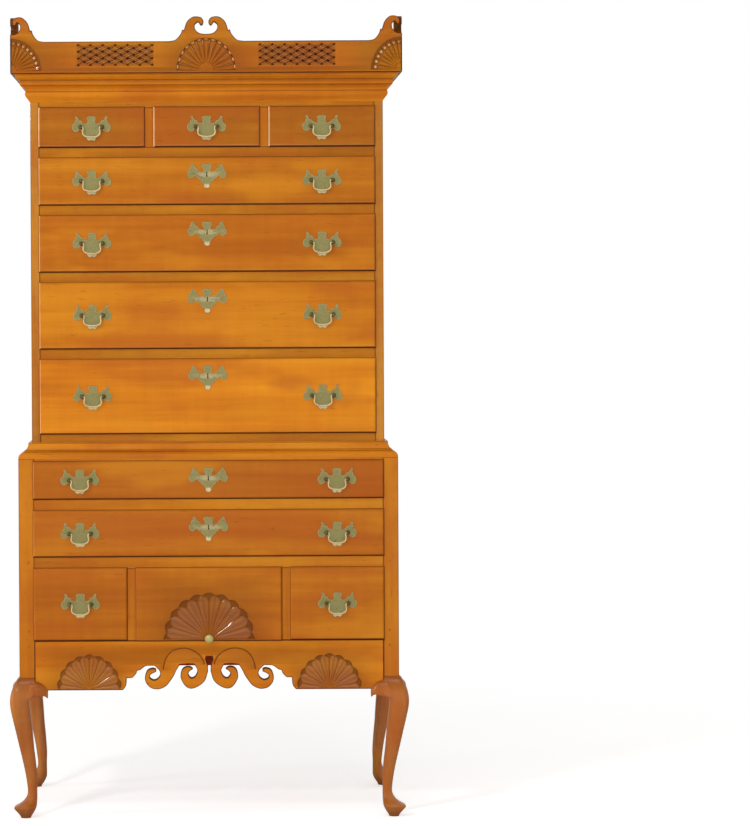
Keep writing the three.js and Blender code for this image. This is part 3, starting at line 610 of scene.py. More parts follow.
def scooped(rho, u):
    """Rounded rays between V cuts, their tips standing before scoops at the rim."""
    crown = 1 - abs(u) ** 2.3
    run = smoothstep(0.02, 0.4, rho)
    dish = 0.16 * run * math.exp(-(u / 0.3) ** 2)
    depth = 0.42 - 0.1 * rho + 0.38 * run * (1 - crown) - 0.24 * run * crown + dish
    # The V cuts, the dished middle of each ray and the scoops are darkened as painted shade over a darker carved
    # ground; the flanks are lightened as painted highlight, which also glosses them
    shade_and_soil = 0.4 + 0.3 * run * smoothstep(0.82, 1, abs(u)) + 0.16 * run * (1 - smoothstep(0.1, 0.34, abs(u)))
    wear_and_highlight_share = 0.12 * run + 0.1 * run * smoothstep(0.36, 0.56, abs(u)) * (1 - smoothstep(0.66, 0.84, abs(u)))
    tip = 0.915 - 0.13 * abs(u) ** 1.7
    sunk = smoothstep(tip, tip + 0.045, rho)
    return depth * (1 - sunk) + sunk, shade_and_soil * (1 - sunk) + 0.66 * sunk, wear_and_highlight_share * (1 - sunk)


def plain_outline(u):
    return 1 - 0.014 * u * u


def lobed_outline(u):
    return 0.938 + 0.062 * math.sin(abs(u) * math.pi / 2)


def fan(centre, radii, start, end, rays, style, outline, deep, hub=0.0, shift=0.0):
    """A fan carved into a face: its points, its faces and the loop that bounds it."""
    (cx, cz), (rx, rz) = centre, radii
    steps = rays * PER_RAY
    edge = 1 - WALL / rx
    rhos = {*np.linspace(0.05, 0.76, 22).tolist(), *np.linspace(0.78, edge, 26).tolist(), 1.0}
    rhos = sorted(rhos | ({hub - 0.015, hub} if hub else set()))
    points, grime, worn = [(cx, cz, 0)], [0.2], [0]
    for row in range(steps + 1):
        angle = start + (end - start) * row / steps
        at_side = row in (0, steps)
        u = 2 * ((row / PER_RAY + shift) % 1) - 1
        reach = outline(u)
        for rho in rhos:
            x = cx + rx * rho * reach * math.cos(angle)
            z = cz + rz * rho * reach * math.sin(angle)
            # The rim, the hub and the hub's edge are darkened as painted shade
            if rho == 1.0 or at_side:
                depth, shade_and_soil, wear_and_highlight_share = 0, 0.3, 0
            elif rho < hub:
                turn = math.cos((angle - start) / (end - start) * TAU * 4.5)
                depth, shade_and_soil, wear_and_highlight_share = 0.1 * (1 - turn) * rho / hub, 0.15, 0
            else:
                depth, shade_and_soil, wear_and_highlight_share = style(rho * reach, u)
                if rho < hub + 0.02:
                    depth, shade_and_soil = 0.5, 0.35
            points.append((x, z, depth * deep))
            grime.append(shade_and_soil)
            # Painted highlights are made stronger towards the fan's sides than at its top
            worn.append(wear_and_highlight_share * (0.3 + 0.7 * abs(math.cos(angle))))
    columns = len(rhos)
    faces = []
    for row in range(steps):
        first, second = 1 + row * columns, 1 + (row + 1) * columns
        faces.append((0, first, second))
        for i in range(columns - 1):
            faces.append((first + i, first + i + 1, second + i + 1, second + i))
    loop = [0] + [1 + i for i in range(columns)]
    loop += [1 + row * columns + columns - 1 for row in range(1, steps + 1)]
    loop += [1 + steps * columns + i for i in reversed(range(columns - 1))]
    return {"points": points, "faces": faces, "loop": loop, "grime": grime, "worn": worn}


WEAVE_ACROSS = 32.4
WEAVE_UP = 17.5
STRAND_HALF = 0.37
WEAVE_STEP = 1.15
WEAVE_FADE = 5.5
WEAVE_DEEPEST = 5


def weave_place(x, z, inward):
    """Depth and darkening of paired strands that pass over and under each other, with gaps between; the gaps,
    the lower strands and the strand edges are darkened as painted shade.
    """
    a = x / WEAVE_ACROSS + z / WEAVE_UP
    b = x / WEAVE_ACROSS - z / WEAVE_UP
    best, edge = WEAVE_DEEPEST, 1
    for one, other, sign in ((a, b, 1), (b, a, -1)):
        strand = math.floor(one)
        off = abs(one - strand - 0.5) / STRAND_HALF
        if off < 1:
            parity = 1 if strand % 2 == 0 else -1
            over = 0.5 * (1 + sign * parity * math.sin(math.pi * other))
            seam = math.exp(-(off / 0.2) ** 2)
            depth = 0.3 + 2 * (1 - over) + 1.1 * off ** 3 + 0.9 * seam
            if depth < best:
                best, edge = depth, max(off, 0.9 * seam)
    if best == WEAVE_DEEPEST:
        return best, 0.95
    shade_and_soil = 0.22 + 0.15 * best + 0.42 * smoothstep(0.5, 0.95, edge)
    fade = smoothstep(0, WEAVE_FADE, inward)
    return best * fade, shade_and_soil * smoothstep(0, 2 * WEAVE_FADE, inward)


def weave(x0, x1, z0, z1):
    """A woven panel that is cut into a face, its strands fading out at its borders."""
    columns = round((x1 - x0) / WEAVE_STEP)
    rows = round((z1 - z0) / WEAVE_STEP)
    xs = np.linspace(x0, x1, columns).tolist()
    zs = np.linspace(z0, z1, rows).tolist()
    middle_x, middle_z = (x0 + x1) / 2, (z0 + z1 + WEAVE_UP) / 2
    points, grime, worn = [], [], []
    for z in zs:
        for x in xs:
            inward = min(x - x0, x1 - x, z - z0, z1 - z)
            depth, shade_and_soil = weave_place(x - middle_x, z - middle_z, inward) if inward > 0.01 else (0, 0)
            points.append((x, z, depth))
            grime.append(shade_and_soil)
            # The raised strands are lightened as painted highlight
            raised = 1 - smoothstep(0.35, 0.7, depth)
            worn.append(0.45 * raised * smoothstep(WEAVE_FADE, 2 * WEAVE_FADE, inward))
    width = len(xs)
    faces = [(j * width + i, j * width + i + 1, (j + 1) * width + i + 1, (j + 1) * width + i)
             for j in range(len(zs) - 1) for i in range(width - 1)]
    loop = [i for i in range(width)]
    loop += [j * width + width - 1 for j in range(1, len(zs))]
    loop += [(len(zs) - 1) * width + i for i in reversed(range(width - 1))]
    loop += [j * width for j in reversed(range(1, len(zs) - 1))]
    return {"points": points, "faces": faces, "loop": loop, "grime": grime, "worn": worn}


def groove(path, half, depth):
    """A V cut that follows a path and runs out at both ends."""
    left, right = [], []
    for i, point in enumerate(path):
        before = Vector(path[max(0, i - 1)])
        after = Vector(path[min(len(path) - 1, i + 1)])
        way = (after - before).normalized()
        side = Vector((-way.y, way.x)) * half
        left.append((point[0] + side.x, point[1] + side.y, 0))
        right.append((point[0] - side.x, point[1] - side.y, 0))
    inner = path[1:-1]
    ends = [(*path[0], 0), (*path[-1], 0)]
    points = ends + left[1:-1] + right[1:-1] + [(x, z, depth) for x, z in inner]
    count = len(inner)
    lefts = [2 + i for i in range(count)]
    rights = [2 + count + i for i in range(count)]
    bottoms = [2 + 2 * count + i for i in range(count)]
    faces = [(0, lefts[0], bottoms[0]), (0, bottoms[0], rights[0])]
    faces += [(1, bottoms[-1], lefts[-1]), (1, rights[-1], bottoms[-1])]
    for i in range(count - 1):
        faces.append((lefts[i], lefts[i + 1], bottoms[i + 1], bottoms[i]))
        faces.append((bottoms[i], bottoms[i + 1], rights[i + 1], rights[i]))
    loop = [0, *lefts, 1, *reversed(rights)]
    # The cut's sides and bottom are darkened as painted shade
    shade_and_soil = [0.25] * (2 + 2 * count) + [0.85] * count
    return {"points": points, "faces": faces, "loop": loop, "grime": shade_and_soil, "worn": [0] * len(points)}


# Outlines, as shares of the sizes that they follow

SCROLL_SHARES = [
    [(0.035, 1), (0.04, 0.9), (0.018, 0.724), (0.0145, 0.55)],
    [(0.0145, 0.55), (0.044, 0.308), (0.086, 0.176), (0.146, 0.077), (0.205, 0.033), (0.256, 0.066),
     (0.298, 0.176), (0.33, 0.34), (0.332, 0.46), (0.32, 0.572), (0.298, 0.649), (0.26, 0.691),
     (0.215, 0.68), (0.189, 0.625)],
    [(0.201, 0.598), (0.225, 0.559), (0.243, 0.477), (0.221, 0.374), (0.196, 0.356), (0.168, 0.394),
     (0.146, 0.484), (0.139, 0.592), (0.155, 0.682), (0.175, 0.768)],
    [(0.247, 0.781), (0.34, 0.757)],
    [(0.383, 0.572), (0.412, 0.416), (0.446, 0.284), (0.493, 0.132), (0.552, 0.044), (0.61, 0.018),
     (0.68, 0.066), (0.733, 0.218), (0.744, 0.403), (0.714, 0.586), (0.656, 0.645), (0.615, 0.616)],
    [(0.615, 0.541), (0.656, 0.493), (0.686, 0.434), (0.679, 0.341), (0.632, 0.297), (0.585, 0.374),
     (0.568, 0.493), (0.585, 0.601), (0.632, 0.726)],
    [(0.719, 0.726), (0.75, 0.694), (0.797, 0.601)],
    [(0.835, 0.574), (0.845, 0.493), (0.877, 0.398), (0.898, 0.361)],
    [(0.957, 0.356), (0.963, 0.134), (1, 0)],
]

FINIAL_SHARES = [
    [(1, 0.563), (0.867, 0.576), (0.798, 0.6), (0.726, 0.651), (0.669, 0.708), (0.64, 0.768)],
    [(0.59, 0.759), (0.557, 0.839), (0.514, 0.905), (0.442, 0.957), (0.343, 0.996), (0.231, 1),
     (0.132, 0.982), (0.074, 0.934), (0.067, 0.896), (0.089, 0.859), (0.123, 0.841)],
    [(0.158, 0.854), (0.188, 0.887), (0.211, 0.902), (0.244, 0.891), (0.295, 0.859), (0.302, 0.811),
     (0.287, 0.774), (0.231, 0.727), (0.145, 0.699), (0, 0.688)],
]

# Cabriole leg, from the floor up: share of the knee's height, outward and inward reach as shares
# of the post, roundness of the outer corner and of the other three
LEG_SHARES = [
    (0, -0.02, 0.68, 0.9, 0.95), (0.0145, 0.02, 0.725, 0.85, 0.95), (0.035, 0.15, 0.86, 0.55, 0.95),
    (0.059, 0.3, 0.985, 0.3, 0.95), (0.081, 0.41, 1.06, 0.12, 0.95), (0.091, 0.26, 1.07, 0.3, 0.95),
    (0.1, 0.07, 1.075, 0.5, 0.95), (0.118, -0.175, 1.08, 0.7, 0.95), (0.141, -0.35, 1.083, 0.85, 0.95),
    (0.165, -0.44, 1.083, 0.9, 0.95), (0.2, -0.448, 1.083, 0.9, 0.95), (0.271, -0.364, 1.097, 0.87, 0.92),
    (0.342, -0.256, 1.055, 0.82, 0.9), (0.413, -0.123, 0.995, 0.76, 0.85), (0.483, 0.015, 0.92, 0.67, 0.8),
    (0.554, 0.156, 0.87, 0.62, 0.76), (0.625, 0.296, 0.82, 0.6, 0.74), (0.69, 0.43, 0.76, 0.6, 0.7),
    (0.77, 0.58, 0.68, 0.6, 0.65), (0.815, 0.63, 0.64, 0.6, 0.6), (0.848, 0.625, 0.66, 0.58, 0.45),
    (0.866, 0.61, 0.95, 0.56, 0.3), (0.91, 0.52, 1, 0.55, 0.12), (0.955, 0.34, 1, 0.5, 0.08),
    (0.985, 0.16, 1, 0.3, 0.05), (1, 0.02, 1, 0.06, 0.04),
]
ANKLE_SHARE = 0.2
BACK_TOE_SHARE = 0.6


# Legs

RETURN_LENGTH = 34
RETURN_DROP = 23
RETURN_SWELL = 17
RETURN_RISE = 28
RETURN_SECTIONS = [(-0.3, 0.72, 0.95, 1.25), (0.1, 0.72, 0.9, 1.15), (0.3, 0.72, 0.85, 1.08),
                   (0.44, 0.7, 0.76, 0.98), (0.6, 0.64, 0.64, 0.8), (0.75, 0.63, 0.52, 0.54),
                   (0.88, 0.78, 0.3, 0.32), (1, 1, 0.1, 0.12)]
RETURN_FACE = [(0.7, 0), (0.92, 0.18), (1, 0.45), (0.93, 0.65), (0.75, 0.8), (0.4, 0.94)]
SIDE_RETURN_THICK = 20
LEG_VOXEL = 1.7
LEG_SOFTENING = 4
# The foot is darker towards the floor, as dirt and painted shade under it; the knee's top is darkened as painted
# shade
FOOT_SHADE_AND_DIRT = 0.55
FOOT_SHADE_HEIGHT = 30
SHOULDER_SHADE = 0.42
SHOULDER_START = 326
CORNER_STEPS = 12
# How far the post runs down into the knee
POST_FOOT = 6


def leg_ring(height, out_share, in_share, outer_round, other_round):
    """A ring round the post's outer corner, which lies at the origin of the leg."""
    out, inward = out_share * POST, in_share * POST
    half = (out + inward) / 2
    ring = []
    signs = ((1, 1, outer_round), (-1, 1, other_round), (-1, -1, other_round), (1, -1, other_round))
    for turn, (sign_x, sign_y, rounding) in enumerate(signs):
        radius = max(0.5, rounding * half)
        centre_x = (out if sign_x > 0 else -inward) - sign_x * radius
        centre_y = (out if sign_y > 0 else -inward) - sign_y * radius
        for step in range(CORNER_STEPS + 1):
            angle = (turn + step / CORNER_STEPS) * math.pi / 2
            ring.append((centre_x + radius * math.cos(angle), centre_y + radius * math.sin(angle), height))
    return ring


def return_rings(along_x, thickness):
    """The knee return's sections, in the leg's own place with outwards positive."""
    rings = []
    for along, drop, rise, swell in RETURN_SECTIONS:
        u = -POST - along * RETURN_LENGTH
        low = apron_bottom - drop * RETURN_DROP
        high = apron_bottom + rise * RETURN_RISE
        face = [(out * swell * RETURN_SWELL, low + up * (high - low)) for out, up in RETURN_FACE]
        section = [(-thickness, low), *face, (0.1, high), (0.1, apron_bottom - 0.2),
                   (-thickness, apron_bottom - 0.2)]
        rings.append([(u, v, z) if along_x else (v, u, z) for v, z in section])
    return rings


def remeshed(points, faces, voxel, smoothing):
    """One smooth skin round several forms that run into each other."""
    rough = linked("rough_form", outward_mesh("rough_form", points, faces))
    skin = rough.modifiers.new("skin", "REMESH")
    skin.mode = "VOXEL"
    skin.voxel_size = voxel * MM
    soften = rough.modifiers.new("soften", "SMOOTH")
    soften.factor = 0.5
    soften.iterations = smoothing
    return plain_mesh(rough)


def plain_mesh(thing):
    """The evaluated mesh of an object, which is then taken away."""
    graph = bpy.context.evaluated_depsgraph_get()
    graph.update()
    result = bpy.data.meshes.new_from_object(thing.evaluated_get(graph))
    bpy.data.objects.remove(thing)
    return result


def leg_form(at_front):
    """The knee, ankle and foot below the post, with the returns glued to the knee."""
    rings = []
    for height, out, inward, *roundings in smooth_path(LEG_SHARES, 3):
        if not at_front and height < ANKLE_SHARE and out > 0:
            out *= BACK_TOE_SHARE
        rings.append(leg_ring(height * KNEE_TOP, out, inward, *(min(0.97, max(0.03, r)) for r in roundings)))
    shell = Shell()
    shell.add(*loft(rings))
    shell.add(*loft(return_rings(False, SIDE_RETURN_THICK)))
    if at_front:
        shell.add(*loft(return_rings(True, APRON_THICK)))
    return remeshed(shell.points, shell.faces, LEG_VOXEL, LEG_SOFTENING)


def place_leg(name, form, side, end):
    """Moves a leg's form to its corner, mirrored to face outwards."""
    mesh = form.copy()
    count = len(mesh.vertices)
    places = np.empty(count * 3, dtype=np.float64)
    mesh.vertices.foreach_get("co", places)
    places = places.reshape(-1, 3)
    places[:, 0] = side * (places[:, 0] + lower_half * MM)
    places[:, 1] = end * (places[:, 1] + back_y * MM)
    places[:, 2] = np.maximum(places[:, 2], 0)
    mesh.vertices.foreach_set("co", places.ravel())
    if side * end < 0:
        mesh.flip_normals()
    height = places[:, 2] / MM
    # Painted shade and dirt low on the foot, and painted shade on the knee's top
    low_shade = np.clip(1 - height / FOOT_SHADE_HEIGHT, 0, 1) * FOOT_SHADE_AND_DIRT
    shoulder = np.clip((height - SHOULDER_START) / (KNEE_TOP - SHOULDER_START), 0, 1) ** 1.5 * SHOULDER_SHADE
    set_values(mesh, grime=np.maximum(low_shade, shoulder))
    dress(linked(f"{name}_cabriole", mesh), leg_wood, "case", (name,), 60)


def legs():
    forms = {-1: leg_form(True), 1: leg_form(False)}
    for end, end_name in ((-1, "front"), (1, "back")):
        for side, side_name in ((-1, "left"), (1, "right")):
            name = f"leg_{end_name}_{side_name}"
            place_leg(name, forms[end], side, end)
            x0, x1 = sorted((side * lower_half, side * (lower_half - POST)))
            y0, y1 = sorted((end * back_y, end * (back_y - POST)))
            ends = (x0, y0, KNEE_TOP - POST_FOOT), (x1, y1, lower_top - RIM_DROP)
            # The post's front arris is darkened as painted shade
            block(f"{name}_post", *ends, post_wood, shade_and_soil=0.6, stands_for=(name,))


# Mouldings

CORNICE_PROFILE = [
    (0, 0), (0.9, 2), (2.7, 5), (5.6, 9), (8.9, 13), (11.2, 16.6), (12.3, 20.5), (12.2, 23), (11.2, 25.5),
    (11, 28), (11.4, 31), (12.3, 33.5), (14.3, 36.8), (17.5, 40), (20.8, 42.3), (24.2, 44), (24.2, 45),
    (25.4, 46.5), (25.4, 57), (26.6, 57.5), (29.5, 59.6), (32.4, 62.5), (35, 64.5), (36.7, 65), (36.7, 73),
    (0, 73),
]
WAIST_PROFILE = [
    (0, 0), (19, 0), (19, 1.6), (18.2, 2.3), (16.2, 3), (14.4, 5.5), (12.4, 8.6), (10.8, 12), (9.6, 15.5),
    (9, 19), (8.7, 20.6), (8.7, 23), (0, 23),
]
RIM_PROFILE = [
    (-RIM_IN, 0), (0, 0), (0, 3), (-0.6, 6.5), (-2.4, 10), (-5.4, 13.4), (-9.5, 16.2), (-13, 17.8),
    (-RIM_IN, RIM_DROP),
]
# The quirks in each profile are darkened as painted shade
QUIRKS = {"cornice": (28, 44, 57.5), "waist": (2.6, 20.6), "rim": ()}
QUIRK_SHADE = 0.6
QUIRK_WIDTH = 1.6


def moulding(kind, profile, half, front, base, stands_for=()):
    """A profile run round the front and both sides, mitred at the front corners."""
    def section(side, at_front):
        """The profile at a front corner, or at the back end of a side."""
        return [(side * (half + x), front - x if at_front else back_y - SEAM, base + z) for x, z in profile]

    shade_and_soil = [max([QUIRK_SHADE * max(0, 1 - abs(z - quirk) / QUIRK_WIDTH) for quirk in QUIRKS[kind]], default=0)
            for _, z in profile]
    runs = {
        "left": (section(-1, False), section(-1, True)),
        "front": (section(-1, True), section(1, True)),
        "right": (section(1, True), section(1, False)),
    }
    for run, ends in runs.items():
        points, faces, _, _ = loft(ends)
        material = moulding_wood if run == "front" else return_wood
        piece(f"{kind}_{run}", (points, faces, shade_and_soil * 2), material, stands_for=stands_for, angle=30)


# Drawers

# The rolled lip: distance in, distance out, then darkening and lightening along its bottom, right, top and left.
# The dark is painted shade: a shadow line along the bottom, and shade on the rolls of the other edges; the light
# is a painted highlight, strongest along the left edge.
FRONT_EDGE = [
    (0, 0.3, (1, 0.95, 0.7, 0.95), (0, 0, 0, 0)),
    (0, 1.6, (1, 0.9, 0.6, 0.9), (0, 0, 0, 0)),
    (0.5, 2.9, (1, 0.75, 0.5, 0.5), (0, 0, 0, 0.3)),
    (1.5, 4.3, (1, 0.6, 0.3, 0.1), (0, 0, 0, 1)),
    (2.7, 5.4, (0.8, 0.3, 0.2, 0), (0, 0.15, 0, 1)),
    (4.1, 6.2, (0.3, 0.1, 0.12, 0), (0.1, 0.1, 0, 0.45)),
    (5.6, 6.75, (0, 0, 0.06, 0), (0.3, 0, 0, 0.1)),
    (7.4, 7, (0, 0, 0, 0), (0, 0, 0, 0)),
    (7.9, 7, (0, 0, 0, 0), (0, 0, 0, 0)),
]
CORNER_RUN = 2.2
RING_POINTS = 12
# How strong each row's painted highlight along its lip is
LIP_HIGHLIGHT = {1: 1, 2: 0.5, 3: 0.5, 4: 0.5, 5: 0.4, 6: 0.2, 7: 0.2, 8: 0.05}


def lip_ring(a, b, c, d, y):
    """A ring round a front, with a point to either side of each corner."""
    run = CORNER_RUN
    return [(a, y, c), (a + run, y, c), (b - run, y, c), (b, y, c), (b, y, c + run), (b, y, d - run),
            (b, y, d), (b - run, y, d), (a + run, y, d), (a, y, d), (a, y, d - run), (a, y, c + run)]


def round_values(sides):
    """Values along the bottom, right, top and left, set out for the points of a ring."""
    bottom, right, top, left = sides
    corners = (max(left, bottom), max(bottom, right), max(right, top), max(top, left))
    return [value for corner, side in zip(corners, sides) for value in (corner, side, side)]


def drawer_lip(row, x0, x1, z0, z1, plane, low_share=1.0):
    """The lipped front from the face inside the case out to its field, as one closed form."""
    polish_and_highlight = LIP_HIGHLIGHT[row]
    inner = (x0 + LIP_SIDE, x1 - LIP_SIDE, z0 + LIP_BACK, z1 - LIP_TOP)
    rings = [lip_ring(*inner, plane + TAIL_START), lip_ring(*inner, plane - LIP_BACK)]
    # The part inside the case is darkened as painted shade
    grime, worn = [0.5] * 2 * RING_POINTS, [0] * 2 * RING_POINTS
    for inset, out, edge_shades, edge_highlights in FRONT_EDGE:
        rings.append(lip_ring(x0 + inset, x1 - inset, z0 + inset * low_share, z1 - inset, plane - out))
        grime += round_values(edge_shades)
        worn += [value * polish_and_highlight for value in round_values(edge_highlights)]
    points, faces, _, _ = loft(rings)
    return points, faces, grime, worn


def tails(z0, z1):
    """The heights at which tails begin and end up a drawer's side."""
    count = max(2, round((z1 - z0) / TAIL_PITCH))
    pitch = (z1 - z0) / count
    return [(z0 + (i + 0.18) * pitch, z0 + (i + 0.82) * pitch) for i in range(count)]


def drawer_case(row, name, low, high, plane, length, body):
    """Dovetailed pine sides, a back and a bottom, with the maple pins between the tails."""
    x0, x1 = low.x + LIP_SIDE, high.x - LIP_SIDE
    z0, z1 = low.z + LIP_BACK, high.z - LIP_TOP
    joints = tails(z0, z1)
    y_tip, y_root, y_back = plane + TAIL_START, plane + FRONT_INSIDE, plane + length
    sides = Shell()
    pins = Shell()
    for xa, xb in ((x0, x0 + BOX_BOARD), (x1 - BOX_BOARD, x1)):
        edge = [(y_back, z0), (y_root, z0)]
        for start, end in joints:
            edge += [(y_root, start + TAIL_FLARE), (y_tip + TAIL_GAP, start), (y_tip + TAIL_GAP, end),
                     (y_root, end - TAIL_FLARE)]
        edge += [(y_root, z1), (y_back, z1)]
        profile = [(xa, y, z) for y, z in edge]
        other = [(xb, y, z) for y, z in edge]
        count = len(edge)
        faces = bands(2, count)
        triangles = flat_faces([edge])
        faces += [tuple(face) for face in triangles]
        faces += [tuple(count + i for i in face) for face in triangles]
        sides.add(profile + other, faces)
        bounds = [z0] + [z for pair in joints for z in pair] + [z1]
        for i in range(0, len(bounds), 2):
            a, b = bounds[i], bounds[i + 1]
            lower = 0 if i == 0 else TAIL_FLARE
            upper = 0 if i == len(bounds) - 2 else TAIL_FLARE
            front_edge = (a + TAIL_GAP * (i > 0), b - TAIL_GAP * (i < len(bounds) - 2))
            rear_edge = (a - lower + TAIL_GAP * (i > 0), b + upper - TAIL_GAP * (i < len(bounds) - 2))
            ends = ((y_tip, *front_edge), (y_root - TAIL_GAP, *rear_edge))
            rings = [[(xa, y, foot), (xb, y, foot), (xb, y, head), (xa, y, head)] for y, foot, head in ends]
            pins.add(*loft(rings))
    left, right = x0 + BOX_BOARD, x1 - BOX_BOARD
    pins.add(*eased_block((left, y_tip, z0), (right, y_root, z1), RAIL_EASE))
    pins.make(f"drawer_{name}_pins", front_wood[row], body=body)
    sides.make(f"drawer_{name}_sides", pine_along, body=body, slot="pine")
    inner = Shell()
    inner.add(*eased_block((left, y_back - BOX_BOARD, z0 + BOX_BOTTOM), (right, y_back, z1), 0.6))
    inner.add(*eased_block((left - BOX_GROOVE, y_root - BOX_GROOVE, z0),
                           (right + BOX_GROOVE, y_back, z0 + BOX_BOTTOM - 1), 0.4))
    inner.make(f"drawer_{name}_back_and_bottom", pine_across, body=body, slot="pine")


# Brasses

PLATE_STRETCHES = [
    [(0, 27.6), (3.4, 29.4), (7, 28)],
    [(7, 28), (11, 27), (12.2, 22), (9.6, 17.6)],
    [(9.6, 17.6), (12, 14.6), (9.4, 11.4)],
    [(9.4, 11.4), (15, 9.4), (20, 10.6), (24.6, 14)],
    [(24.6, 14), (25.8, 17.6), (30.6, 17.4)],
    [(30.6, 17.4), (34, 22), (36, 27), (40.4, 29.6)],
    [(40.4, 29.6), (42.6, 25), (40.2, 20.4), (43.4, 17.6)],
    [(43.4, 17.6), (44, 11), (48.6, 8)],
    [(48.6, 8), (51.2, 2), (50.4, -5), (46.4, -11.4), (40.4, -13.2), (34.6, -11), (31.4, -6.6)],
    [(31.4, -6.6), (27, -8), (26, -13), (22.4, -16)],
    [(22.4, -16), (20.6, -21.4), (14.4, -23.4)],
    [(14.4, -23.4), (13.6, -28), (11.4, -33), (6.4, -36.6), (2, -34.6), (0, -35.8)],
]
ESCUTCHEON_STRETCHES = [
    [(0, 25.4), (2.6, 28), (6.4, 27.4)],
    [(6.4, 27.4), (12, 26), (13.4, 20), (9.6, 16)],
    [(9.6, 16), (11, 12.6), (8, 9.6)],
    [(8, 9.6), (14, 7.6), (20, 9), (24, 12.6)],
    [(24, 12.6), (26, 16.6), (30.4, 17)],
    [(30.4, 17), (32.4, 22), (37.6, 28.6)],
    [(37.6, 28.6), (42, 25.6), (42.6, 19.4)],
    [(42.6, 19.4), (46.6, 16), (46.4, 10)],
    [(46.4, 10), (51.4, 6), (51.6, -1), (48.6, -8), (43, -10.6), (37, -9), (33.4, -4.6)],
    [(33.4, -4.6), (28.6, -4.4), (26, -9.6), (20.6, -11)],
    [(20.6, -11), (19, -16), (13, -18.4)],
    [(13, -18.4), (11.6, -23), (6.8, -25.6)],
    [(6.8, -25.6), (8.4, -31), (4.6, -36), (0, -37)],
]
KEYHOLE = [(-2.1, 4.6), (-1.1, 1.6), (-2.1, -6), (2.1, -6), (1.1, 1.6), (2.1, 4.6), (1.5, 6.3), (0, 7),
           (-1.5, 6.3)]


def plate_shell(groups, hole=None):
    """A cast plate with a bevelled rim, lying on y = 0 with its face at -PLATE_THICK."""
    right = stretches(groups, 1, 1, 4)
    loop = closed_loop([*right, *mirrored(right)])
    inner = inset_loop(loop, 0.9)
    flat = inset_loop(loop, 1.7)
    layers = [(loop, 0), (loop, -0.6), (inner, -PLATE_THICK), (flat, -PLATE_THICK + 0.2)]
    count = len(loop)
    points = [(x, y, z) for ring, y in layers for x, z in ring]
    # The rim is darkened as painted shade, the bevel and the bottom lobe lightened as painted highlight
    lobe_highlight = [smoothstep(22, 30, -z) for _, z in flat]
    worn = [0] * 2 * count + [0.9] * count + lobe_highlight
    grime = [1] * 2 * count + [0.25] * count + [0.1] * count
    faces = bands(len(layers), count)
    loops_front, loops_back = [flat], [loop]
    numbers_front = list(range(3 * count, 4 * count))
    numbers_back = list(range(count))
    if hole:
        start = len(points)
        size = len(hole)
        points += [(x, 0, z) for x, z in hole] + [(x, -PLATE_THICK + 0.25, z) for x, z in hole]
        # The keyhole's walls are darkened as painted shade, its rim lightened as painted highlight
        grime += [0.9] * size + [0.4] * size
        worn += [0] * size + [0.6] * size
        faces += bands(2, size, start)
        loops_front.append(hole)
        loops_back.append(hole)
        numbers_front += list(range(start + size, start + 2 * size))
        numbers_back += list(range(start, start + size))
    faces += [tuple(numbers_front[i] for i in face) for face in flat_faces(loops_front)]
    faces += [tuple(numbers_back[i] for i in face) for face in flat_faces(loops_back)]
    return points, faces, grime, worn


def moved(points, x, y, z):
    return [(px + x, py + y, pz + z) for px, py, pz in points]


def lathe(profile, sides):
    """A turned form standing out along -Y from y = 0: pairs of radius and length."""
    rings = []
    for radius, out in profile:
        rings.append([(radius * math.cos(TAU * i / sides), -out, radius * math.sin(TAU * i / sides))
                      for i in range(sides)])
    return rings


BOLT_PROFILE = [(5.6, 0), (5.8, 0.8), (5, 1.8), (3.3, 2.8), (3, 4.2), (3.4, 5.4), (4.2, 7), (4.5, 9),
                (4.4, 10.6), (3.7, 12.2), (2.3, 13.2), (0.4, 13.5)]
KNOB_PROFILE = [(4.6, 0), (4.8, 1), (4.3, 2.4), (4, 5), (4.4, 7.4), (6.4, 8.8), (9.6, 10), (11.2, 12),
                (11.5, 14.3), (10.9, 16.6), (9.4, 18.6), (8.4, 19), (8, 18.7), (7.6, 19.1), (5, 20.4), (0.5, 21)]
PEG_PROFILE = [(3.6, -3), (3.6, 0.25), (3.2, 0.55), (0.3, 0.6)]


def begun_tree(name, **kinds):
    """An empty tree with its named inputs, and the node that they come from."""
    tree = bpy.data.node_groups.new(name, "GeometryNodeTree")
    for label, kind in kinds.items():
        tree.interface.new_socket(label, in_out="INPUT", socket_type=f"NodeSocket{kind}")
    tree.interface.new_socket("Result", in_out="OUTPUT", socket_type="NodeSocketGeometry")
    g = Graph(tree)
    return g, g.add("NodeGroupInput")


def ended_tree(g, source, form):
    """Makes a tree's result real and gives it its finish."""
    real = g.add("GeometryNodeRealizeInstances", inputs={0: form})
    finished = g.add("GeometryNodeSetMaterial", inputs={"Geometry": real, "Material": source.other("Finish")})
    g.add("NodeGroupOutput", inputs={0: finished})
    return g.tree


def instance_tree(name):
    """Geometry Nodes that set one form on every point of a mesh."""
    g, source = begun_tree(name, Places="Geometry", Form="Object", Finish="Material")
    form = g.add("GeometryNodeObjectInfo", inputs={"Object": source.other("Form")}, output="Geometry")
    dots = g.add("GeometryNodeMeshToPoints", inputs={"Mesh": source})
    copies = g.add("GeometryNodeInstanceOnPoints", inputs={"Points": dots, "Instance": form})
    return ended_tree(g, source, copies)


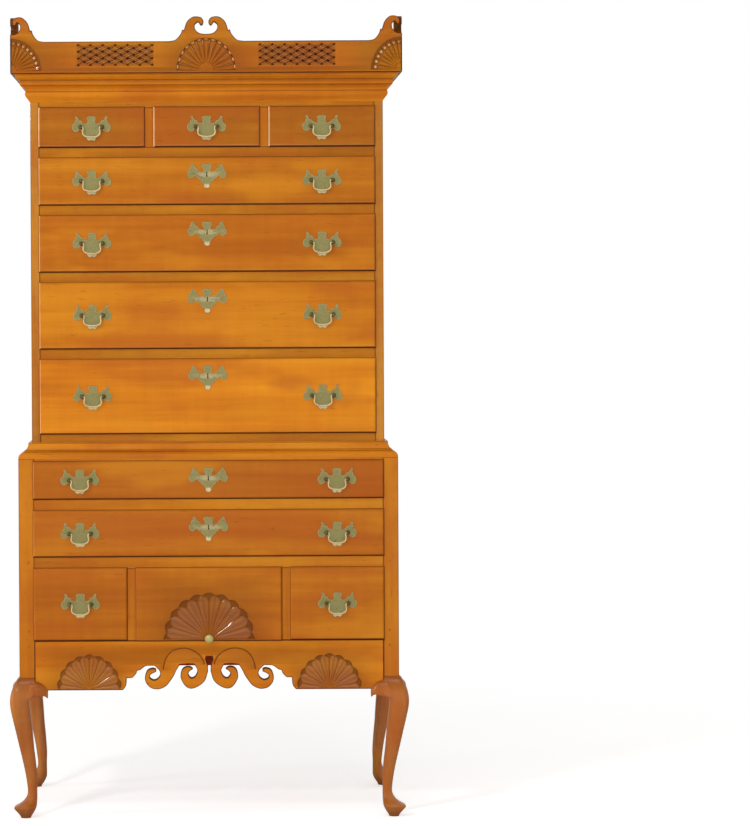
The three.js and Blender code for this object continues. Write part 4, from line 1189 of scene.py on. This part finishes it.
def wire_tree(name):
    """Geometry Nodes that draw a round wire along a path."""
    g, source = begun_tree(name, Path="Geometry", Radius="Float", Steps="Int", Finish="Material")
    line = g.add("GeometryNodeMeshToCurve", inputs={"Mesh": source})
    even = g.add("GeometryNodeResampleCurve", inputs={"Curve": line, "Count": source.other("Steps")})
    sizes = {"Resolution": WIRE_SIDES, "Radius": source.other("Radius")}
    section = g.add("GeometryNodeCurvePrimitiveCircle", inputs=sizes)
    settings = {"Curve": even, "Profile Curve": section, "Fill Caps": True}
    return ended_tree(g, source, g.add("GeometryNodeCurveToMesh", inputs=settings))


def run_tree(tree, mesh, settings):
    """Runs a tree on a mesh with its named inputs set, and gives the plain result."""
    carrier = linked("carrier", mesh)
    modifier = carrier.modifiers.new(tree.name, "NODES")
    modifier.node_group = tree
    for item in tree.interface.items_tree:
        if item.in_out == "INPUT" and item.name in settings:
            modifier[item.identifier] = settings[item.name]
    return plain_mesh(carrier)


wire_nodes = wire_tree("wire_along_path")
instance_nodes = instance_tree("form_on_points")

BAIL_RIGHT = [(31, 0), (27, 0), (23, -0.4), (21.6, -2.6), (21.6, -7), (22.8, -12), (22.6, -17), (19.8, -21.8),
              (14, -24.9), (7, -26.2), (0, -26.6)]
WIRE_STEPS = 90


def bail(name, pull_x, pivot_y, pull_z):
    right = smooth_path(BAIL_RIGHT, 4)
    path = right[:-1] + mirrored(right)
    mesh = bpy.data.meshes.new("bail_path")
    dots = [((pull_x + x) * MM, pivot_y * MM, (pull_z + z) * MM) for x, z in path]
    mesh.from_pydata(dots, [(i, i + 1) for i in range(len(dots) - 1)], [])
    settings = {"Radius": WIRE_RADIUS * MM, "Steps": WIRE_STEPS, "Finish": bail_brass}
    wire = run_tree(wire_nodes, mesh, settings)
    # The wire's sides, which turn away, are darkened as painted shade
    facing = [-normal.vector.y for normal in wire.vertex_normals]
    set_values(wire, grime=[0.95 * (1 - smoothstep(0.25, 0.8, share)) for share in facing])
    dress(linked(f"{name}_wire", wire), bail_brass, name, (name,), 60)


def turned_copies(name, profile, sides, places, material, body):
    """Sets one turned form at each place, as one piece."""
    points, faces, _, _ = loft(lathe(profile, sides))
    form = linked("turned_form", outward_mesh("turned_form", points, faces))
    dots = bpy.data.meshes.new("turned_places")
    dots.from_pydata([tuple(c * MM for c in place) for place in places], [], [])
    result = run_tree(instance_nodes, dots, {"Form": form, "Finish": material})
    bpy.data.objects.remove(form)
    dress(linked(name, result), material, body, (), 40)


ESCUTCHEON_DROP = 47


def brasses(name, low, high, plane, pulls):
    """The plates, bolts and escutcheon of one drawer, and its bails."""
    body = f"drawer_{name}"
    face = plane - FRONT_PROUD
    pull_z = (low.z + high.z) / 2
    bolt_places = []
    for pull_x, suffix in pulls:
        points, *rest = plate_shell(PLATE_STRETCHES)
        placed = moved(points, pull_x, face, pull_z)
        piece(f"plate_{name}{suffix}", (placed, *rest), plate_brass, body=body, slot="brass")
        bolt_places += [(pull_x + side * BOLT_HALF, face - PLATE_THICK + 0.25, pull_z) for side in (-1, 1)]
        bail(f"bail_{name}{suffix}", pull_x, face - PIVOT_OUT, pull_z)
    if bolt_places:
        turned_copies(f"bolts_{name}", BOLT_PROFILE, 24, bolt_places, bolt_brass, body)
    if len(pulls) > 1:
        lock_z = high.z - ESCUTCHEON_DROP
        points, *rest = plate_shell(ESCUTCHEON_STRETCHES, closed_loop(KEYHOLE))
        placed = moved(points, 0, face, lock_z)
        piece(f"escutcheon_{name}", (placed, *rest), plate_brass, body=body, slot="brass")
        # A dark iron insert in the keyhole, standing for the lock and the painted shade in the hole
        ring = [(x, face - 0.06, lock_z + z) for x, z in closed_loop(KEYHOLE)]
        rear = [(x, face + 0.4, z) for x, _, z in ring]
        piece(f"keyhole_{name}", loft([rear, ring]), keyhole_dark_iron, body=body, slot="brass")


def drawer(name, pulls):
    row = int(name[3])
    low, high = node_box(f"drawer_{name}")
    plane = upper_front_y if row < 6 else front_y
    body = f"drawer_{name}"
    if not pulls:
        # The knob hangs below its front, which is level with the drawers beside it
        low.z = node_box("drawer_row8_left")[0].z
    if pulls:
        front = drawer_lip(row, low.x, high.x, low.z, high.z, plane)
        piece(f"drawer_{name}_front", front, front_wood[row], body=body, stands_for=(body,), angle=40)
    else:
        fan_front(name, low, high, plane, body)
    drawer_case(row, name, low, high, plane, high.y - plane, body)
    brasses(name, low, high, plane, pulls)


FAN_RADII = (121, 124)
FAN_LIFT = 2.7
FAN_RAYS = 10
FAN_DEEP = 4.2
# How far the lip runs in under the fan, as a share of its run elsewhere
FAN_LIP_SHARE = 0.3
KNOB_LIFT = 6
KNOB_SUNK = 2
KNOB_SIDES = 40


def fan_front(name, low, high, plane, body):
    """The middle drawer of the last row, with its field carved as a fan."""
    points, faces, grime, worn = drawer_lip(8, low.x, high.x, low.z, high.z, plane, FAN_LIP_SHARE)
    faces = faces[:-1]
    last = len(points) - RING_POINTS
    patch = fan((0, low.z + FAN_LIFT), FAN_RADII, 0, math.pi, FAN_RAYS, scooped, lobed_outline, FAN_DEEP)
    start = len(points)
    face_y = plane - FRONT_PROUD
    points += [(x, face_y + depth, z) for x, z, depth in patch["points"]]
    faces += [tuple(start + i for i in face) for face in patch["faces"]]
    field = [(points[last + i][0], points[last + i][2]) for i in range(RING_POINTS)]
    carved = [patch["points"][i][:2] for i in patch["loop"]]
    numbers = [last + i for i in range(RING_POINTS)] + [start + i for i in patch["loop"]]
    faces += [tuple(numbers[i] for i in face) for face in flat_faces([field, carved])]
    form = (points, faces, grime + patch["grime"], worn + patch["worn"])
    piece(f"drawer_{name}_front", form, front_wood[8], body=body, stands_for=(body,), angle=34)
    rings = [moved(ring, 0, face_y + KNOB_SUNK, low.z + KNOB_LIFT) for ring in lathe(KNOB_PROFILE, KNOB_SIDES)]
    piece("knob_row8_middle", loft(rings), knob_brass, body=body, slot="brass", angle=50)


UPPER_PULL = (node_box("bail_row2_left")[0].x + node_box("bail_row2_left")[1].x) / 2
LOWER_PULL = (node_box("bail_row6_left")[0].x + node_box("bail_row6_left")[1].x) / 2


def drawers():
    for row in (1, 8):
        pull = UPPER_PULL if row == 1 else LOWER_PULL
        drawer(f"row{row}_left", [(pull, "")])
        drawer(f"row{row}_middle", [(0, "")] if row == 1 else [])
        drawer(f"row{row}_right", [(-pull, "")])
    for row in range(2, 8):
        pull = UPPER_PULL if row < 6 else LOWER_PULL
        drawer(f"row{row}", [(pull, "_left"), (-pull, "_right")])


# Apron

APRON_FAN_X = 316.3
APRON_FAN_RADII = (85.8, 92.6)
APRON_FAN_LIFT = 2.4
APRON_FAN_RAYS = 9
APRON_FAN_DEEP = 4
ARCH_PATH = [(12.4, 66), (16.6, 78.7), (28.7, 94.7), (50.3, 106.8), (71.6, 109.5), (95.8, 102.9),
             (111.8, 86.8), (119, 68), (122, 52)]
ARCH_HALF = 2.8
ARCH_DEPTH = 1.7


def apron():
    right = stretches(SCROLL_SHARES, SCROLL_SPAN, SCROLL_RISE, 6)
    half = apron_high.x
    height = apron_high.z - apron_bottom
    outline = [(x, apron_bottom + z) for x, z in [*right, (half, 0), (half, height)]]
    outline += [(-x, z) for x, z in reversed(outline)]
    patches = []
    for side in (-1, 1):
        centre = (side * APRON_FAN_X, apron_bottom + APRON_FAN_LIFT)
        patches.append(fan(centre, APRON_FAN_RADII, 0, math.pi, APRON_FAN_RAYS, scooped, lobed_outline,
                           APRON_FAN_DEEP, shift=0.5))
        arch = [(side * x, apron_bottom + z) for x, z in smooth_path(ARCH_PATH, 5)]
        patches.append(groove(arch, ARCH_HALF, ARCH_DEPTH))
    form = cut_board(outline, APRON_THICK, front_y, patches)
    piece("apron_board", form, apron_wood, stands_for=("apron",), angle=36)


# Gallery

GALLERY_FAN_RADII = (79, 86)
GALLERY_FAN_RAYS = 13
GALLERY_HUB = 0.26
CORNER_FAN_RADII = (81, 86)
CORNER_FAN_RAYS = 8
CORNER_HUB = 0.2
GALLERY_FAN_LIFT = 6
CORNER_MARGIN = 1.4
FLUTE_DEEP = 4.6
WEAVE_MIDDLE = 238.3
WEAVE_HALF = 104
WEAVE_LOW = 15.8
WEAVE_HIGH = 79


def finial(half, height):
    return stretches(FINIAL_SHARES, half, height, 6)


def corner_finial():
    """The half finial folded round a front corner, running in from that corner."""
    return mirrored(finial(FINIAL_HALF * CORNER_FINIAL_SHARE, FINIAL_HEIGHT))


def mitred(points, faces, grime, worn, planes):
    """Cuts a board's shell by planes and closes the cuts."""
    mesh = bpy.data.meshes.new("mitred")
    mesh.from_pydata(points, [], faces)
    set_values(mesh, grime=grime, worn=worn)
    shell = bmesh.new()
    shell.from_mesh(mesh)
    for place, normal in planes:
        whole = shell.verts[:] + shell.edges[:] + shell.faces[:]
        cut = bmesh.ops.bisect_plane(shell, geom=whole, plane_co=place, plane_no=normal, clear_outer=True)
        rim = [item for item in cut["geom_cut"] if isinstance(item, bmesh.types.BMEdge)]
        bmesh.ops.triangle_fill(shell, edges=rim, use_beauty=True)
    shade_and_soil = shell.verts.layers.float["grime"]
    wear_and_highlight_share = shell.verts.layers.float["worn"]
    shell.verts.index_update()
    result = (
        [tuple(vertex.co) for vertex in shell.verts],
        [tuple(vertex.index for vertex in face.verts) for face in shell.faces],
        [vertex[shade_and_soil] for vertex in shell.verts],
        [vertex[wear_and_highlight_share] for vertex in shell.verts],
    )
    shell.free()
    bpy.data.meshes.remove(mesh)
    return result


def gallery_front():
    corner = [(gallery_half + x, z) for x, z in corner_finial()]
    right = [(gallery_half, 0), *corner, *finial(FINIAL_HALF, FINIAL_HEIGHT)]
    outline = [(x, gallery_base + z) for x, z in right]
    outline += [(-x, z) for x, z in reversed(outline)]
    foot = gallery_base + GALLERY_FAN_LIFT
    patches = [fan((0, foot), GALLERY_FAN_RADII, 0, math.pi, GALLERY_FAN_RAYS, gallery_style, plain_outline,
                   FLUTE_DEEP, GALLERY_HUB)]
    reach = gallery_half - CORNER_MARGIN
    for side, start in ((1, math.pi / 2), (-1, 0)):
        patches.append(fan((side * reach, foot), CORNER_FAN_RADII, start, start + math.pi / 2, CORNER_FAN_RAYS,
                           corner_style, plain_outline, FLUTE_DEEP, CORNER_HUB))
        middle = side * WEAVE_MIDDLE
        low, high = gallery_base + WEAVE_LOW, gallery_base + WEAVE_HIGH
        patches.append(weave(middle - WEAVE_HALF, middle + WEAVE_HALF, low, high))
    board_form = cut_board(outline, GALLERY_THICK, gallery_front_y, patches)
    edge = gallery_half - 0.1
    planes = [((side * edge, gallery_front_y, 0), (side, 1, 0)) for side in (-1, 1)]
    piece("gallery_front_board", mitred(*board_form, planes), gallery_wood, stands_for=("gallery_front",))


def gallery_side(side, name):
    """Drawn as a front board running in from its corner, then turned along the case's side."""
    length = back_y - gallery_front_y
    outline = [(0, 0), *corner_finial(), (-length, GALLERY_FLAT), (-length, 0)]
    patch = fan((-CORNER_MARGIN, GALLERY_FAN_LIFT), CORNER_FAN_RADII, math.pi / 2, math.pi, CORNER_FAN_RAYS,
                corner_style, plain_outline, FLUTE_DEEP, CORNER_HUB)
    form = mitred(*cut_board(outline, GALLERY_THICK, 0, [patch]), [((-0.1, 0, 0), (1, 1, 0))])
    points = [(side * (gallery_half - y), gallery_front_y - x, gallery_base + z) for x, y, z in form[0]]
    piece(f"{name}_board", (points, *form[1:]), gallery_side_wood, stands_for=(name,))


# Case boards

PEG_HEIGHTS = (674.5, 493, 453.5)
PEG_IN = 25
# How deep the lower back board is stained red on its inner side
STAINED = 4


def case_boards():
    # Side and divider boards have their front arrises darkened as painted shade
    for node in ("upper_side_left", "upper_side_right"):
        board(node, side_wood, shade_and_soil=0.6)
    for node in ("upper_divider_left", "upper_divider_right", "lower_divider_left", "lower_divider_right"):
        board(node, divider_wood, shade_and_soil=0.9)
    board("upper_top_rail", upper_rail_wood, ease=RAIL_EASE)
    board("upper_back", pine_upright, "pine")
    halves = (("outside", pine_upright, back_low.y + STAINED, back_high.y),
              ("inside", pine_inside, back_low.y, back_low.y + STAINED))
    for half, material, near, far in halves:
        ends = (back_low.x, near, back_low.z), (back_high.x, far, back_high.z)
        block(f"lower_back_{half}", *ends, material, 0.5, slot="pine", stands_for=("lower_back",))
    board("upper_top", pine_top, "pine")
    rim_base = lower_top - RIM_DROP
    for node in ("lower_side_left", "lower_side_right"):
        low, high = node_box(node)
        block(f"{node}_board", low, (high.x, high.y, rim_base), side_wood, RAIL_EASE, stands_for=(node,))
    low, high = node_box("lower_top_board")
    inner = lower_half - POST - SEAM
    shell = Shell()
    shell.add(*eased_block((-inner, front_y, low.z), (inner, front_y + POST, rim_base), RAIL_EASE))
    top_low = (RIM_IN - lower_half, front_y + RIM_IN, rim_base)
    shell.add(*eased_block(top_low, (lower_half - RIM_IN, high.y, high.z), RAIL_EASE))
    shell.make("lower_top_board_frame", lower_rail_wood, stands_for=("lower_top_board",))
    kept = {"lower_shelf_row8": lower_rail_wood, "lower_shelf_row7": lower_rail_wood,
            "upper_bottom": upper_rail_wood, "lower_bottom_shelf": pine_inside}
    kept.update({f"upper_shelf_row{row}": upper_rail_wood for row in (2, 3, 4, 5)})
    for node, material in kept.items():
        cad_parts[node].data.materials.clear()
        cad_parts[node].data.materials.append(material)
    places = [(side * (lower_half - PEG_IN), front_y, z) for side in (-1, 1) for z in PEG_HEIGHTS]
    turned_copies("pegs_front", PEG_PROFILE, 14, places, divider_wood, "case")


# Stage

CAMERA_PLACE = (0, -7.654, 1.364)
LENS = 122.6
PICTURE_HIGH = 826
PICTURE_WIDE = 750
OBJECT_COLUMN = 207.4
PITCH = 0.65
ROLL = 0.3
SHIFT_DOWN = 81
# Place, target, sizes, power, and whether polished faces mirror the lamp
LAMPS = (
    ("key", (-2.6, -4.2, 3.6), (0, 0, 1.1), (0.5, 0.5), 66, True),
    ("fill", (3.4, -4.6, 1.6), (0, 0, 1.1), (3.2, 3.2), 22, True),
    ("front", (0.2, -6.4, 1.9), (0, 0, 1.2), (3, 3), 22, True),
    ("overhead", (0, -2.9, 4.4), (0, 0, 1), (2.6, 0.8), 30, True),
    ("strip", (-3.3, -0.9, 1.3), (0, 0, 1.2), (0.5, 2.8), 24, True),
    ("low", (0.4, -5.6, 0.35), (0, 0, 1.5), (3.4, 0.5), 42, False),
)
FLOOR_REACH = 14
FLOOR_GLOW = 0.56
ROOM_LIGHT = 0.34


def stage():
    data = bpy.data.cameras.new("camera")
    data.lens = LENS
    data.sensor_width = 36
    data.shift_x = (PICTURE_WIDE / 2 - OBJECT_COLUMN) / PICTURE_HIGH
    data.shift_y = -SHIFT_DOWN / PICTURE_HIGH
    camera = linked("camera", data)
    camera.location = CAMERA_PLACE
    camera.rotation_euler = (math.radians(90 - PITCH), math.radians(ROLL), 0)
    bpy.context.scene.camera = camera
    bpy.context.scene.view_settings.view_transform = "Standard"
    for settings in LAMPS:
        lamp(*settings)
    floor()
    sky()


def lamp(name, place, target, sizes, power, mirrored_in_polish):
    data = bpy.data.lights.new(name, "AREA")
    data.shape = "RECTANGLE"
    data.size, data.size_y = sizes
    data.energy = power
    thing = linked(name, data)
    thing.location = place
    thing.rotation_euler = (Vector(target) - Vector(place)).to_track_quat("-Z", "Y").to_euler()
    thing.visible_camera = False
    thing.visible_glossy = mirrored_in_polish


def floor():
    material, g = new_material("pale_floor")
    place = g.add("ShaderNodeTexCoord", output="Object")
    distance = g.add("ShaderNodeVectorMath", {"operation": "LENGTH"}, {0: place}, output="Value")
    speckle = g.noise(place, (90, 90, 90), 3)
    colour = g.mix(speckle, linear(240, 240, 240), linear(248, 248, 248))
    plain = g.add("ShaderNodeBsdfPrincipled", inputs={"Base Color": colour, "Roughness": 0.7})
    glow = g.add("ShaderNodeEmission", inputs={"Color": linear(255, 255, 255), "Strength": 1})
    lift = g.add("ShaderNodeEmission", inputs={"Color": linear(255, 255, 255), "Strength": FLOOR_GLOW})
    lifted = g.add("ShaderNodeAddShader", inputs={0: plain, 1: lift})
    seen = g.add("ShaderNodeLightPath", output="Is Camera Ray")
    near = g.add("ShaderNodeMixShader", inputs={0: seen, 1: plain, 2: lifted})
    far = g.spread(distance, 1, 2.6)
    surface = g.add("ShaderNodeMixShader", inputs={0: seen * far, 1: near, 2: glow})
    finish_material(g, surface)
    mesh = bpy.data.meshes.new("floor")
    corners = [(x * FLOOR_REACH, y * FLOOR_REACH, 0) for x, y in ((-1, -1), (1, -1), (1, 1), (-1, 1))]
    mesh.from_pydata(corners, [], [(0, 1, 2, 3)])
    mesh.materials.append(material)
    linked("floor", mesh)


def sky():
    world = bpy.data.worlds.new("studio")
    world.use_nodes = True
    bpy.context.scene.world = world
    g = Graph(world.node_tree)
    path = g.add("ShaderNodeLightPath", output="Is Camera Ray")
    towards = g.add("ShaderNodeTexCoord", output="Generated")
    way = g.add("ShaderNodeSeparateXYZ", inputs={0: towards})
    aside = g.add("ShaderNodeMath", {"operation": "ABSOLUTE"}, {0: way})
    walls = g.spread(aside, 0.72, 0.96, 0, 0.45)
    behind = g.spread(way.other("Y"), -0.25, 0.25, 0, 1)
    lit = g.add("ShaderNodeMath", {"operation": "MAXIMUM"}, {0: walls, 1: behind})
    shown = path.other("Is Glossy Ray") * lit
    seen = g.add("ShaderNodeMath", {"operation": "MAXIMUM"}, {0: path, 1: shown})
    dim = g.add("ShaderNodeBackground", inputs={"Color": linear(255, 252, 246), "Strength": ROOM_LIGHT})
    white = g.add("ShaderNodeBackground", inputs={"Color": linear(255, 255, 255), "Strength": 1})
    mixed = g.add("ShaderNodeMixShader", inputs={0: seen, 1: dim, 2: white})
    g.add("ShaderNodeOutputWorld", inputs={"Surface": mixed})


stage()
legs()
case_boards()
moulding("cornice", CORNICE_PROFILE, upper_half + SEAM, upper_front_y - SEAM, cornice_base, ("cornice",))
moulding("waist", WAIST_PROFILE, upper_half + SEAM, upper_front_y - SEAM, waist_base, ("waist_moulding",))
moulding("rim", RIM_PROFILE, lower_half, front_y, lower_top - RIM_DROP)
drawers()
apron()
gallery_front()
gallery_side(-1, "gallery_left")
gallery_side(1, "gallery_right")
